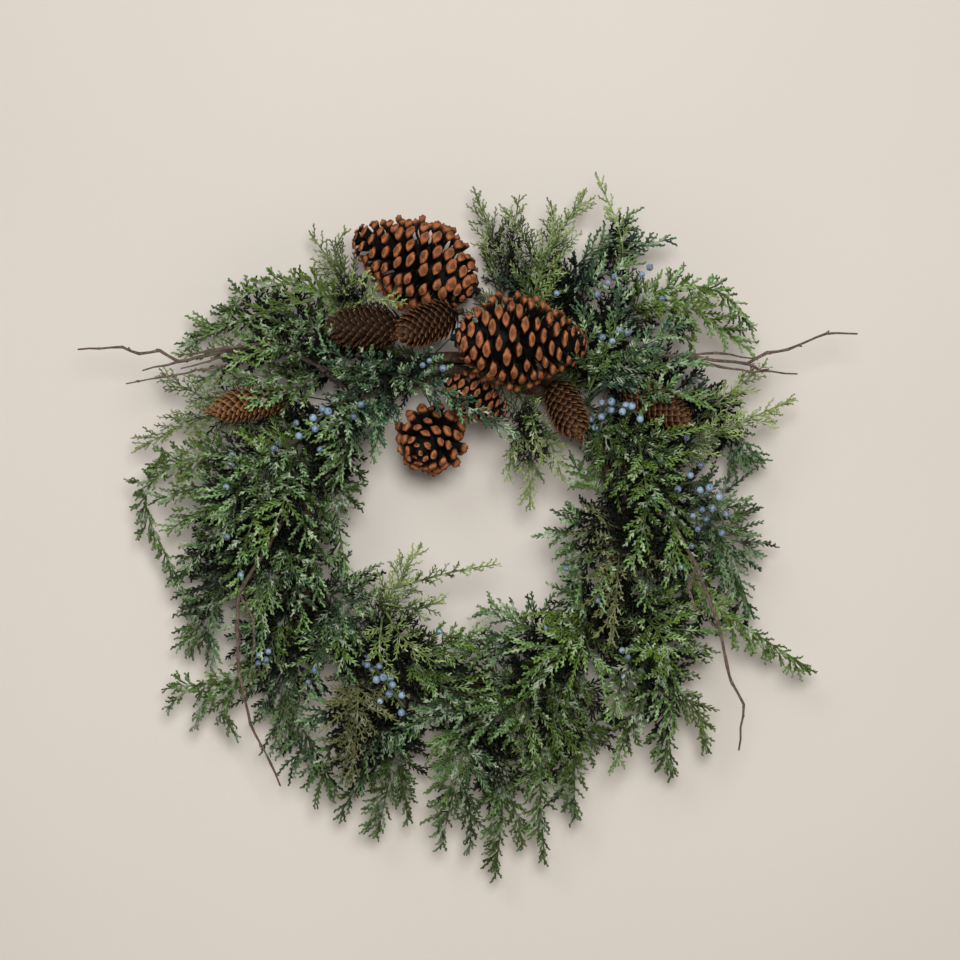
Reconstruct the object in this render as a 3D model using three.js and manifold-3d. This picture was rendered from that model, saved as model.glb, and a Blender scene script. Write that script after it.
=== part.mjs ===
// A fresh evergreen wreath: a ring of twisted vines with evergreen sprays, berry sprigs, bare twigs
// and cones wired onto it. Millimetres, +Z up, +X right, the front faces -Y, the wall is y = 25.
// The origin is the hanging point: the underside of the ring's top, where it rests on a nail.
import * as THREE from "three";
import Module from "manifold-3d";

const wasm = await Module();
wasm.setup();

// Driving dimensions.
const RING_RADIUS = 150; // the ring's centre to the middle of the vine bundle
const TWIST_RADIUS = 8.8; // the middle of the bundle to the middle of a strand
const STRAND_RADIUS = 5.6;
const TWISTS_PER_TURN = 2.5;
const BUNDLE_RADIUS = TWIST_RADIUS + STRAND_RADIUS;
const HANG = RING_RADIUS - BUNDLE_RADIUS + 2.1; // down from the origin to the centre, between two strands
const GAP = 0.35; // the air left between two pieces
const STEM_HALF = 1.7; // half the width of a tied stem
const WIRE_RADIUS = 0.8;
const WIRE_FRONT = 22.4; // the wire's reach over the tied stems
const WIRE_BACK = 15.6; // and behind the bundle
const TIE_CLOCKS = [15, 45, 75, 105, 135, 165, 195, 225, 255, 285, 315, 345];
const JOINT_LENGTH = 4.6; // the short stretch of a twig that bears a side shoot

// [material, roughness, colour]
const LOOKS = {
  vine: ["vine_bark", 0.85, 0x5a4030],
  wire: ["green_wire", 0.4, 0x2c4a34],
  pine: ["pine_cone_scale", 0.7, 0x8a4a2c],
  spruce: ["spruce_cone_scale", 0.75, 0x6a4630],
  twig: ["twig_bark", 0.85, 0x56403a],
  berry: ["juniper_berry", 0.5, 0x5574a8],
  cedar: ["dark_cedar", 0.7, 0x2e5340],
  needle: ["light_juniper", 0.7, 0x76945a],
  fan: ["olive_arborvitae", 0.7, 0x7f8a45],
};

// Points are given from the ring's centre: right, up and forward of the middle of the bundle.
const at = (right, up, forward) => new THREE.Vector3(right, -forward, up - HANG);
const FORWARD = new THREE.Vector3(0, -1, 0);
const radians = THREE.MathUtils.degToRad;

// A point round the bundle: clock degrees from the top, seat degrees from outward towards the front.
function roundRing(clock, seat, reach) {
  const c = radians(clock);
  const s = radians(seat);
  const radial = RING_RADIUS + reach * Math.cos(s);
  return at(radial * Math.sin(c), radial * Math.cos(c), reach * Math.sin(s));
}

function randomFrom(seed) {
  let state = seed;
  return () => {
    state = (state * 1664525 + 1013904223) % 4294967296;
    return state / 4294967296;
  };
}

// ---- clearance between pieces ----

const taken = [];

function segmentGap(p, q, a, b) {
  const d1 = q.clone().sub(p);
  const d2 = b.clone().sub(a);
  const r = p.clone().sub(a);
  const e1 = d1.dot(d1);
  const e2 = d2.dot(d2);
  const f = d2.dot(r);
  const c = d1.dot(r);
  const m = d1.dot(d2);
  const den = e1 * e2 - m * m;
  const clamp = (v) => Math.min(1, Math.max(0, v));
  let s = den > 1e-9 ? clamp((m * f - c * e2) / den) : 0;
  let t = (m * s + f) / e2;
  if (t < 0) {
    t = 0;
    s = clamp(-c / e1);
  } else if (t > 1) {
    t = 1;
    s = clamp((m - c) / e1);
  }
  return p.clone().addScaledVector(d1, s).distanceTo(a.clone().addScaledVector(d2, t));
}

function take(owner, limb, a, b, radius) {
  const middle = a.clone().add(b).multiplyScalar(0.5);
  const half = a.distanceTo(b) / 2;
  taken.push({ owner, limb, a: a.clone(), b: b.clone(), radius, middle, half });
}

// True where a rounded segment keeps the gap to every other piece, and to other limbs of its own.
function isClear(owner, limb, a, b, radius) {
  const middle = a.clone().add(b).multiplyScalar(0.5);
  const half = a.distanceTo(b) / 2;
  for (const other of taken) {
    const own = other.owner === owner;
    if (own && (limb < 0 || other.limb < 0 || other.limb === limb)) continue;
    const reach = radius + other.radius + (own ? 0.1 : GAP);
    if (middle.distanceTo(other.middle) > reach + half + other.half) continue;
    if (segmentGap(a, b, other.a, other.b) < reach) return false;
  }
  return true;
}

// ---- meshes grown from rings of four points ----

class Growth {
  constructor(name) {
    this.name = name;
    this.points = [];
    this.faces = [];
    this.limbs = 0;
  }

  point(v) {
    this.points.push(v);
    return this.points.length - 1;
  }

  // Four corners round a centre: front left, front right, back right, back left.
  ring(centre, along, normal, halfWidth, halfThick) {
    const side = along.clone().cross(normal).normalize();
    const front = side.clone().cross(along).normalize();
    const corner = (i, j) => {
      const v = centre.clone().addScaledVector(side, i * halfWidth);
      return this.point(v.addScaledVector(front, j * halfThick));
    };
    return [corner(-1, 1), corner(1, 1), corner(1, -1), corner(-1, -1)];
  }

  close(quad) {
    this.faces.push([quad[0], quad[1], quad[2]], [quad[0], quad[2], quad[3]]);
  }

  // A pointed end, or a needle, on any ring of points.
  raise(ring, tip) {
    const top = this.point(tip);
    ring.forEach((v, k) => this.faces.push([v, ring[(k + 1) % ring.length], top]));
  }

  // The sides between two rings; bearers[k] takes side k instead of closing it.
  cell(low, up, bearers = {}) {
    for (let k = 0; k < 4; k++) {
      const n = (k + 1) % 4;
      const quad = [low[k], low[n], up[n], up[k]];
      if (bearers[k]) bearers[k](quad);
      else this.close(quad);
    }
  }

  middle(quad) {
    const sum = new THREE.Vector3();
    quad.forEach((i) => sum.add(this.points[i]));
    return sum.multiplyScalar(1 / quad.length);
  }

  geometry() {
    const flat = this.points.flatMap((p) => [p.x, p.y, p.z]);
    return new THREE.BufferGeometry()
      .setAttribute("position", new THREE.Float32BufferAttribute(flat, 3))
      .setIndex(this.faces.flat());
  }
}

const turned = (quad, by) => quad.map((_, k) => quad[(k + by) % 4]);

// A round-ended bar of a few sides along a row of points.
function barFaces(points, sides, radiusAt) {
  const g = new Growth("");
  let normal = new THREE.Vector3(0.31, -0.9, 0.3).normalize();
  let last = null;
  points.forEach((p, i) => {
    const before = points[Math.max(0, i - 1)];
    const after = points[Math.min(points.length - 1, i + 1)];
    const along = after.clone().sub(before).normalize();
    const side = along.clone().cross(normal).normalize();
    normal = side.clone().cross(along).normalize();
    const ring = [];
    for (let k = 0; k < sides; k++) {
      const a = (2 * Math.PI * k) / sides;
      const v = p.clone().addScaledVector(normal, radiusAt(i) * Math.cos(a));
      ring.push(g.point(v.addScaledVector(side, radiusAt(i) * Math.sin(a))));
    }
    if (last)
      for (let k = 0; k < sides; k++) {
        const n = (k + 1) % sides;
        g.close([last[k], last[n], ring[n], ring[k]]);
      }
    else for (let k = 1; k < sides - 1; k++) g.faces.push([ring[0], ring[k + 1], ring[k]]);
    last = ring;
  });
  for (let k = 1; k < sides - 1; k++) g.faces.push([last[0], last[k], last[k + 1]]);
  return g;
}

// ---- the vine ring and the binding wire ----

const VINE_TURNS = 3.97;
const VINE_STEPS = 96;

function vine() {
  const points = [];
  for (let i = 0; i <= VINE_STEPS; i++) {
    const clock = 24 + (i / VINE_STEPS) * VINE_TURNS * 360;
    points.push(roundRing(clock, 40 + clock * (TWISTS_PER_TURN + 0.25), TWIST_RADIUS));
  }
  const radiusAt = (i) => STRAND_RADIUS * (1 - 0.05 * Math.abs(Math.sin(i * 1.9)));
  for (let i = 0; i < VINE_STEPS; i++) take("vine", -1, points[i], points[i + 1], STRAND_RADIUS);
  return barFaces(points, 6, radiusAt).geometry();
}

// The wire passes once round the stems at each tie, then runs on behind the bundle.
function wirePath() {
  const points = [];
  for (const clock of TIE_CLOCKS)
    for (let k = 0; k <= 8; k++) {
      const nearBack = Math.min(k, 8 - k);
      const reach = nearBack === 0 ? WIRE_BACK : nearBack === 1 ? 19.8 : WIRE_FRONT;
      points.push(roundRing(clock - 1.2 + 0.3 * k, 270 + 45 * k, reach));
    }
  return points;
}

const solid = (geometry) =>
  new wasm.Manifold(
    new wasm.Mesh({
      numProp: 3,
      vertProperties: Float32Array.from(geometry.getAttribute("position").array),
      triVerts: Uint32Array.from(geometry.getIndex().array),
    }),
  );

function geometryOf(made) {
  const mesh = made.getMesh();
  return new THREE.BufferGeometry()
    .setAttribute("position", new THREE.BufferAttribute(mesh.vertProperties, 3))
    .setIndex(new THREE.BufferAttribute(mesh.triVerts, 1));
}

// The wire with a pick for each cone: from a loop of the wire to just short of the cone's stalk.
function wire(cones) {
  const points = wirePath();
  const bars = [points];
  for (const cone of cones) {
    const axis = cone.apex.clone().sub(cone.base).normalize();
    const end = cone.base.clone().addScaledVector(axis, -STALK - 0.4);
    const start = roundRing(cone.tie[0], cone.tie[1], WIRE_FRONT - 0.2);
    bars.push([start, end]);
  }
  for (const bar of bars)
    for (let i = 1; i < bar.length; i++) take("binding_wire", -1, bar[i - 1], bar[i], WIRE_RADIUS);
  const parts = bars.map((bar) => solid(barFaces(bar, 3, () => WIRE_RADIUS).geometry()));
  return geometryOf(parts.reduce((a, b) => a.add(b)));
}

// ---- cones ----

const STALK = 3;

// Name, base and apex from the ring's centre, widest radius, rows of scales, wire loop it hangs from.
const PINE_CONES = [
  ["pine_cone_top_left", [14, 216, 30], [-97, 268, 30], 44, 9, [15, 45]],
  ["pine_cone_centre", [-4, 170, 84], [114, 164, 90], 44, 9, [345, 90]],
  ["pine_cone_low", [-18, 92, 6], [-38, 68, 64], 34, 7, [345, 135]],
  ["pine_cone_tucked", [-12, 133, 38], [42, 102, 44], 23, 6, [345, 90]],
];
const SPRUCE_CONES = [
  ["spruce_cone_far_left", [-50, 182, 52], [-121, 181, 46], 19.5, 8, [345, 45]],
  ["spruce_cone_beside_centre", [-2, 194, 58], [-57, 172, 78], 18.5, 7, [15, 45]],
  ["spruce_cone_inner_right", [83, 134, 46], [107, 82, 58], 17, 6, [15, 90]],
  ["spruce_cone_right", [144, 135, 46], [207, 94, 50], 16, 7, [45, 45]],
  ["spruce_cone_left", [-153, 121, 50], [-223, 106, 56], 15, 8, [315, 45]],
  ["spruce_cone_top_right", [112, 188, -6], [88, 236, -4], 12, 6, [45, 0]],
];

const coneOf = ([name, base, apex, radius, rows, tie]) => ({
  name, base: at(...base), apex: at(...apex), radius, rows, tie,
});

// An open pine cone is widest a third of the way along.
function pineRadius(t) {
  if (t < 0.38) return 0.45 + 0.55 * Math.sin((Math.PI / 2) * (t / 0.38));
  return 0.2 + 0.8 * Math.cos(((Math.PI / 2) * (t - 0.38)) / 0.62);
}

// A closed spruce cone is a cylinder with rounded ends.
const spruceRadius = (t) => Math.pow(Math.max(0, 1 - Math.pow(Math.abs(2 * t - 0.95), 3.2)), 0.6) * 0.98;

function coneFrame(cone) {
  const axis = cone.apex.clone().sub(cone.base);
  const length = axis.length();
  axis.normalize();
  const u = new THREE.Vector3(0.2, 0.3, 1).cross(axis).normalize();
  const v = axis.clone().cross(u);
  const out = (angle) => u.clone().multiplyScalar(Math.cos(angle)).addScaledVector(v, Math.sin(angle));
  const on = (t) => cone.base.clone().addScaledVector(axis, t * length);
  return { axis, length, out, on };
}

function takeCone(cone, shape) {
  const { on } = coneFrame(cone);
  for (let i = 0; i < 6; i++) {
    const radius = cone.radius * shape((i + 0.5) / 6);
    take(cone.name, -1, on(i / 6), on((i + 1) / 6), radius);
  }
}

// One scale: a shaft from its diamond of the core, flared to a thick tip with a beak.
function openScale(g, diamond, frame, t, angle, radius) {
  const core = g.middle(diamond);
  const outward = frame.out(angle);
  const across = frame.axis.clone().cross(outward);
  const rise = radians(-14 + 66 * t);
  const shaft = outward.clone().multiplyScalar(Math.cos(rise)).addScaledVector(frame.axis, Math.sin(rise));
  const thick = frame.axis.clone().multiplyScalar(Math.cos(rise)).addScaledVector(outward, -Math.sin(rise));
  const tip = core.clone().addScaledVector(shaft, radius * 0.6);
  const wide = radius * 0.26;
  const high = radius * 0.075 + 1;
  const corner = (a, b) => g.point(tip.clone().addScaledVector(across, a).addScaledVector(thick, b));
  const end = [corner(0, -high), corner(wide, 0), corner(0, high * 0.7), corner(-wide, 0)];
  for (let k = 0; k < 4; k++) {
    const n = (k + 1) % 4;
    g.close([diamond[k], diamond[n], end[n], end[k]]);
  }
  g.raise(end, tip.clone().addScaledVector(shaft, 3).addScaledVector(thick, -1));
}

// The core is a lattice of diamonds, one for each scale, closed to a stalk and a point.
function pineCone(cone) {
  const g = new Growth(cone.name);
  const frame = coneFrame(cone);
  const columns = 8;
  const step = (2 * Math.PI) / columns;
  const rings = [];
  const place = (k) => 0.03 + (0.9 * k) / (cone.rows - 1);
  for (let k = 0; k < cone.rows; k++) {
    const radius = cone.radius * pineRadius(place(k)) * 0.36;
    const ring = [];
    for (let j = 0; j < columns; j++) {
      const spot = frame.on(place(k)).addScaledVector(frame.out((j + (k % 2) / 2) * step), radius);
      ring.push(g.point(spot));
    }
    rings.push(ring);
  }
  for (let k = 0; k + 2 < cone.rows; k++)
    for (let j = 0; j < columns; j++) {
      const shift = k % 2;
      const left = rings[k + 1][(j - 1 + shift + columns) % columns];
      const right = rings[k + 1][(j + shift) % columns];
      const t = place(k + 1);
      const angle = (j + shift / 2) * step;
      openScale(g, [rings[k][j], right, rings[k + 2][j], left], frame, t, angle, cone.radius * pineRadius(t));
    }
  closeLattice(g, rings, frame, columns);
  return g.geometry();
}

function closeLattice(g, rings, frame, columns) {
  const last = rings.length - 1;
  const stalk = g.point(frame.on(0).addScaledVector(frame.axis, -STALK));
  const point = g.point(frame.on(1));
  for (let j = 0; j < columns; j++) {
    const n = (j + 1) % columns;
    g.faces.push([rings[0][j], rings[0][n], rings[1][j]]);
    g.faces.push([stalk, rings[0][n], rings[0][j]]);
    const between = rings[last - 1][last % 2 ? n : j];
    g.faces.push([rings[last][n], rings[last][j], between]);
    g.faces.push([rings[last][j], rings[last][n], point]);
  }
}

// A closed cone: cups of scales, each cup's rim standing proud over the foot of the next.
function spruceCone(cone) {
  const g = new Growth(cone.name);
  const frame = coneFrame(cone);
  const sides = 12;
  const ringAt = (t, radiusOf, riseOf) => {
    const ring = [];
    for (let j = 0; j < sides; j++) {
      const spot = frame.on(t).addScaledVector(frame.axis, riseOf(j));
      ring.push(g.point(spot.addScaledVector(frame.out((2 * Math.PI * j) / sides), radiusOf(j))));
    }
    return ring;
  };
  const bridge = (low, up) => {
    for (let j = 0; j < sides; j++) {
      const n = (j + 1) % sides;
      g.close([low[j], low[n], up[n], up[j]]);
    }
  };
  let last = null;
  for (let k = 0; k < cone.rows; k++) {
    const foot = (k + 0.12) / cone.rows;
    const rim = (k + 0.98) / cone.rows;
    const wide = cone.radius * spruceRadius(rim * 0.94);
    const tip = (j) => (j + k) % 2 === 0;
    const low = ringAt(foot, () => Math.max(1.5, cone.radius * spruceRadius(foot * 0.94) - 2.2), () => 0);
    const up = ringAt(rim, (j) => Math.max(1.2, tip(j) ? wide : wide - 1.8), (j) => (tip(j) ? 1.6 : -1.8));
    if (last) bridge(last, low);
    else g.raise(low.slice().reverse(), frame.on(0).addScaledVector(frame.axis, -STALK));
    bridge(low, up);
    last = up;
  }
  g.raise(last, frame.on(1));
  return g.geometry();
}

// ---- stems tied to the ring ----

// The vine and the stem ends tied so far, as solids.
const tied = [];

// How far from the bundle's middle a stem end lies: as deep as the vine and the ends before it let it.
function seatReach(endAt) {
  for (let reach = 9.5; reach < 20; reach += 0.1) {
    const stout = solid(endAt(reach, GAP));
    if (tied.some((other) => !stout.intersect(other).isEmpty())) continue;
    tied.push(solid(endAt(reach, 0)));
    return reach;
  }
  throw new Error("no room for a stem end");
}

// A stem's first rings as a closed body of their own.
function endOf(rings) {
  const g = new Growth("");
  const loops = rings.map(({ spot, along, face, half }) => g.ring(spot, along, face, half, half));
  g.close(loops[0].slice().reverse());
  for (let i = 1; i < loops.length; i++) g.cell(loops[i - 1], loops[i]);
  g.close(loops.at(-1));
  return g.geometry();
}

// A stem lies along the ring under its tie and then leaves it.
function leadPoints([clock, seat, turn], reach) {
  const low = roundRing(clock - 5 * turn, seat, reach);
  return [low, roundRing(clock, seat, reach), roundRing(clock + 6 * turn, seat, reach + 3)];
}

// Where a stem's rings stand, from its tied end through its points: distance, place, heading, half width.
function stemRings(tie, way, stops, roll, reach) {
  const points = [...leadPoints(tie, reach), ...way.map((p) => at(...p))];
  const curve = new THREE.CatmullRomCurve3(points, false, "centripetal");
  const length = curve.getLength();
  return stops(length).map((d) => {
    const u = d / length;
    const spot = curve.getPointAt(u);
    const along = curve.getTangentAt(u);
    return { u, spot, along, face: faceAt(spot, roll, along), half: STEM_HALF * (1 - 0.62 * u) };
  });
}

// The spray's flat face looks to the front and away from the bundle.
function faceAt(point, roll, along) {
  const flat = new THREE.Vector3(point.x, 0, point.z + HANG).normalize().multiplyScalar(RING_RADIUS);
  const middle = at(flat.x, flat.z, 0);
  const away = point.clone().sub(middle).normalize();
  return FORWARD.clone().multiplyScalar(1.1).addScaledVector(away, 0.5).normalize().applyAxisAngle(along, roll);
}

// Rings along a stem: bare to where it leaves its tie, then even stretches that each bear limbs.
function layStem(name, look, tie, way, stretch, options = {}) {
  const bare = options.bare ?? 38;
  const rest = options.tip ?? 16;
  const roll = options.roll ?? 0;
  const first = [0, bare / 3, (2 * bare) / 3, bare];
  const stops = (length) => {
    const nodes = Math.round((length - bare - rest) / stretch);
    const step = (length - bare - rest) / nodes;
    return [...first, ...Array.from({ length: nodes }, (_, i) => bare + step * (i + 1))];
  };
  const reach = seatReach((depth, more) => {
    const rings = stemRings(tie, way, () => first, roll, depth);
    return endOf(rings.map((ring) => ({ ...ring, half: ring.half + more })));
  });
  const g = new Growth(name);
  const rings = stemRings(tie, way, stops, roll, reach);
  for (const ring of rings) ring.ring = g.ring(ring.spot, ring.along, ring.face, ring.half, ring.half);
  g.close(rings[0].ring.slice().reverse());
  const tip = at(...way.at(-1));
  g.raise(rings.at(-1).ring, tip);
  for (let i = 1; i < rings.length; i++)
    take(name, -1, rings[i - 1].spot, rings[i].spot, rings[i - 1].half * 1.4);
  take(name, -1, rings.at(-1).spot, tip, 1);
  const bearing = [];
  rings.slice(1).forEach((up, i) => {
    const low = rings[i];
    if (i >= 3) bearing.push({ low, up, order: i - 3 });
    else g.cell(low.ring, up.ring);
  });
  return { name, look, g, bearing, options };
}

// ---- limbs ----

const TILTS = [0, 12, -12, 25, -25, 40, -40];
const SHRINKS = [1, 0.82, 0.64, 0.48];
const PALM = 0.24; // the share of a limb before it forks

// The two edges of a limb's broad foot, from the stem to a point along the limb.
function footEdges(g, quad, to) {
  const edge = (i, j) => g.points[quad[i]].clone().lerp(g.points[quad[j]], 0.5);
  return [edge(0, 3), edge(1, 2)].map((from) => [from, to]);
}

// The first way for a limb that keeps clear of everything: straight, tilted out of plane, or shorter.
function clearWay(plan, quad, limb, along, face, length, radius, footShare) {
  const owner = plan.name;
  const root = plan.g.middle(quad);
  for (const shrink of SHRINKS)
    for (const tilt of TILTS) {
      const a = radians(tilt);
      const way = along.clone().multiplyScalar(Math.cos(a)).addScaledVector(face, Math.sin(a)).normalize();
      const tip = root.clone().addScaledVector(way, length * shrink);
      const start = root.clone().addScaledVector(way, 1.5);
      const foot = footEdges(plan.g, quad, root.clone().lerp(tip, footShare));
      if (!foot.every(([from, to]) => isClear(owner, -1, from, to, 1.3))) continue;
      if (isClear(owner, limb, start, tip, radius)) return { way, tip, length: length * shrink };
    }
  return null;
}

function takeFoot(plan, quad, to) {
  for (const [from, end] of footEdges(plan.g, quad, to)) take(plan.name, -1, from, end, 1.3);
}

function needle(plan, quad, limb, along, face, length) {
  const root = plan.g.middle(quad);
  const found = clearWay(plan, quad, limb, along, face, length, 1.2, 0.7);
  if (!found) {
    plan.g.close(quad);
    return false;
  }
  plan.g.raise(quad, found.tip);
  take(plan.name, limb, root, found.tip, 1.2);
  takeFoot(plan, quad, root.clone().lerp(found.tip, 0.7));
  return true;
}

// A limb with a short palm, a long middle point and a needle off either side of the palm.
function frond(plan, quad, limb, along, face, length) {
  const { g, name } = plan;
  const root = g.middle(quad);
  const found = clearWay(plan, quad, limb, along, face, length, 1.6, PALM);
  if (!found) return needle(plan, quad, limb, along, face, length * 0.4);
  const { way } = found;
  const palm = root.clone().addScaledVector(way, found.length * PALM);
  const end = g.ring(palm, way, face, 1.5, 0.9);
  takeFoot(plan, quad, palm);
  take(name, limb, root, palm, 1.9);
  take(name, limb, palm, found.tip, 1.4);
  const across = way.clone().cross(face).normalize();
  const fork = (sign) => (side) => {
    const out = way.clone().multiplyScalar(0.84).addScaledVector(across, sign * 0.54).normalize();
    needle(plan, turned(side, 1), limb, out, face, found.length * 0.66);
  };
  g.cell(quad, end, { 1: fork(1), 3: fork(-1) });
  g.raise(end, found.tip);
  return true;
}

// Limbs are longest a third of the way up the spray and shorten to its tip.
const limbLength = (u) => (u < 0.35 ? 0.72 + 0.28 * (u / 0.35) : 1 - 0.6 * ((u - 0.35) / 0.65));

function bearLimbs(plan, place, random) {
  const { g, options } = plan;
  const { low, up, order } = place;
  const u = low.u;
  const face = low.face;
  const side = low.along.clone().cross(face).normalize();
  const open = radians((options.open ?? 62) - 22 * u);
  const grow = (sign, kind) => (quad) => {
    const along = low.along.clone().multiplyScalar(Math.cos(open)).addScaledVector(side, sign * Math.sin(open));
    along.z -= options.droop ?? 0.08;
    along.normalize();
    const limb = g.limbs++;
    const base = turned(quad, sign > 0 ? 3 : 1);
    const short = order % 2 === (sign > 0 ? 0 : 1) ? 0.74 : 1;
    const length = 1.12 * plan.reach * limbLength(u) * short * (0.88 + 0.24 * random());
    if (kind === "frond") frond(plan, base, limb, along, face, length);
    else needle(plan, base, limb, along, face, length * (options.needle ?? 0.6));
  };
  const pair = options.pair ?? (order % 2 ? ["needle", "frond"] : ["frond", "needle"]);
  g.cell(low.ring, up.ring, { 1: grow(1, pair[0]), 3: grow(-1, pair[1]) });
}

// ---- sprays ----

// Name, [tie clock, seat, turn along the ring], way from the ring's centre, limb length.
const CEDAR = [
  ["top_right", [15, 8, 1], [[92, 222, 14], [158, 290, 20]], 56],
  ["arch_right", [45, 41, -1], [[178, 214, 42], [232, 214, 38], [268, 180, 26]], 42],
  ["right_high", [45, 23, 1], [[205, 122, 14], [278, 60, 10]], 62],
  ["right_face", [45, 95, 1], [[168, 60, 50], [205, -35, 50]], 66],
  ["right_edge", [75, 5, 1], [[228, 6, 10], [268, -82, 8]], 60],
  ["right_inner", [75, 135, 1], [[118, 0, 38], [112, -80, 52]], 56],
  ["right_point", [75, 40, 1], [[226, -62, 30], [324, -131, 12]], 46],
  ["low_right_face", [105, 60, 1], [[182, -100, 54], [192, -182, 48]], 64],
  ["low_right_edge", [105, 10, 1], [[182, -140, 14], [194, -226, 10]], 56],
  ["low_right_inner", [105, 110, 1], [[108, -90, 46], [62, -150, 48]], 62],
  ["bottom_right_edge", [135, 10, 1], [[104, -190, 12], [104, -265, 8]], 50],
  ["bottom_right_point", [135, 35, 1], [[74, -215, 30], [77, -306, 8]], 42],
  ["bottom_face", [135, 95, 1], [[44, -160, 40], [-24, -196, 42]], 62],
  ["bottom_point", [165, 15, 1], [[38, -235, 16], [32, -319, 6]], 42],
  ["bottom_middle", [165, 50, 1], [[0, -215, 38], [-18, -291, 14]], 48],
  ["bottom_left_point", [195, 15, 1], [[-60, -200, 14], [-76, -281, 8]], 50],
  ["bottom_left_face", [195, 60, 1], [[-72, -168, 40], [-92, -235, 30]], 60],
  ["low_left_edge", [255, 0, -1], [[-162, -135, 8], [-112, -240, 8]], 58],
  ["left_point", [255, 25, -1], [[-192, -128, 26], [-272, -146, 10]], 40],
  ["left_low_edge", [285, 0, -1], [[-212, -30, 8], [-247, -117, 8]], 58],
  ["left_arch", [285, 25, 1], [[-238, 66, 26], [-284, 34, 22], [-250, -60, 16]], 46],
  ["left_face", [285, 50, -1], [[-168, -25, 42], [-180, -115, 44]], 66],
  ["left_inner", [255, 120, -1], [[-106, -66, 40], [-70, -130, 42]], 58],
  ["left_high", [315, 90, -1], [[-160, 68, 50], [-218, 4, 48]], 64],
  ["upper_left_edge", [315, 18, 1], [[-168, 192, 12], [-256, 166, 10]], 52],
  ["upper_left_arch", [345, 35, -1], [[-132, 218, 22], [-190, 216, 22], [-220, 182, 16]], 42],
  ["inner_top_left", [345, 110, -1], [[-78, 122, 44], [-112, 40, 44]], 58],
  ["inner_left", [315, 150, -1], [[-112, 30, 30], [-100, -50, 36]], 52],
  ["inner_bottom", [135, 165, 1], [[70, -90, 34], [16, -74, 38]], 40],
  ["inner_low", [225, 125, -1], [[-50, -112, 30], [14, -122, 34]], 52],
];
const NEEDLE = [
  ["top_left", [345, 10, -1], [[-88, 200, 6], [-138, 272, 10]], 50],
  ["top_a", [15, 26, -1], [[40, 225, 0], [12, 312, 10]], 50],
  ["top_b", [15, 44, 1], [[70, 225, 34], [114, 309, 26]], 52],
  ["top_tip", [45, 5, -1], [[146, 246, 44], [122, 322, 36]], 36],
  ["right", [75, 22, -1], [[218, 82, 42], [303, 119, 28]], 44],
  ["left", [315, 36, -1], [[-202, 110, 22], [-295, 74, 16]], 52],
  ["inner_bottom", [225, 150, -1], [[-64, -62, 40], [-34, -12, 46]], 46],
  ["hanging", [15, 150, 1], [[62, 100, 34], [63, 18, 32]], 40],
];
const FAN = [
  ["right", [75, 98, 1], [[140, -26, 82], [134, -98, 86]], 50],
  ["low_left", [225, 75, -1], [[-90, -150, 72], [-96, -226, 66]], 52],
];

// ---- berry sprigs and twigs ----

const BERRY = [
  ["top_left", [315, 112, -1], [[-116, 106, 66], [-136, 86, 80]]],
  ["top_right", [45, 77, 1], [[134, 112, 66], [158, 104, 80]]],
  ["right", [75, 58, 1], [[214, 42, 64], [236, 2, 70]]],
  ["low_left", [225, 105, -1], [[-70, -126, 82], [-48, -154, 90]]],
];

const BERRY_RADIUS = 3.7;

// A berry on a tapered stalk: the stalk widens from the stem's side to the berry's belly.
function berry(plan, quad, limb, out, face) {
  const root = plan.g.middle(quad);
  const middle = root.clone().addScaledVector(out, 6);
  if (!isClear(plan.name, limb, root.clone().addScaledVector(out, 4.5), middle, BERRY_RADIUS)) {
    plan.g.close(quad);
    return;
  }
  const belly = plan.g.ring(middle, out, face, BERRY_RADIUS * 0.72, BERRY_RADIUS * 0.72);
  plan.g.cell(quad, belly);
  plan.g.raise(belly, middle.clone().addScaledVector(out, BERRY_RADIUS));
  take(plan.name, limb, root, middle, BERRY_RADIUS);
}

function bearBerries(plan, { low, up }) {
  const { along, face } = low;
  const side = along.clone().cross(face).normalize();
  const lean = (direction, forward) => direction.clone().addScaledVector(along, forward).normalize();
  const g = plan.g;
  g.cell(low.ring, up.ring, {
    0: (quad) => berry(plan, turned(quad, 2), g.limbs++, lean(face, -0.25), along),
    1: (quad) => berry(plan, turned(quad, 3), g.limbs++, lean(side, 0.35), face),
    3: (quad) => berry(plan, turned(quad, 1), g.limbs++, lean(side.clone().negate(), 0.35), face),
  });
}

// Name, tie, main stem, then side shoots: [point of the stem it leaves, side, its points].
const TWIGS = [
  ["left", [315, 54, 1], [[-130, 150, 34], [-171, 168, 48], [-252, 151, 46], [-269, 161, 46],
    [-287, 158, 46], [-302, 164, 46], [-342, 162, 44]],
    [[1, 3, [[-190, 152, 52], [-263, 137, 52], [-298, 131, 50]]], [2, 3, [[-284, 143, 46]]]]],
  ["right", [45, 59, 1], [[148, 158, 40], [199, 156, 46], [257, 149, 46], [275, 159, 46],
    [294, 162, 46], [328, 176, 46], [356, 176, 44]],
    [[2, 1, [[268, 143, 47], [302, 140, 46]]]]],
  ["low_left", [285, 75, -1], [[-172, -18, 72], [-194, -54, 78], [-196, -86, 80], [-194, -128, 76],
    [-186, -171, 62], [-169, -208, 50], [-161, -229, 44]],
    [[1, 3, [[-181, -78, 84], [-180, -100, 84], [-183, -115, 82]]]]],
  ["low_right", [75, 76, 1], [[186, 12, 68], [209, -31, 78], [226, -76, 82], [236, -119, 76],
    [240, -133, 72], [252, -154, 64], [249, -196, 52]],
    [[1, 1, [[201, -51, 84], [206, -66, 84], [225, -84, 84]]]]],
];

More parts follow.
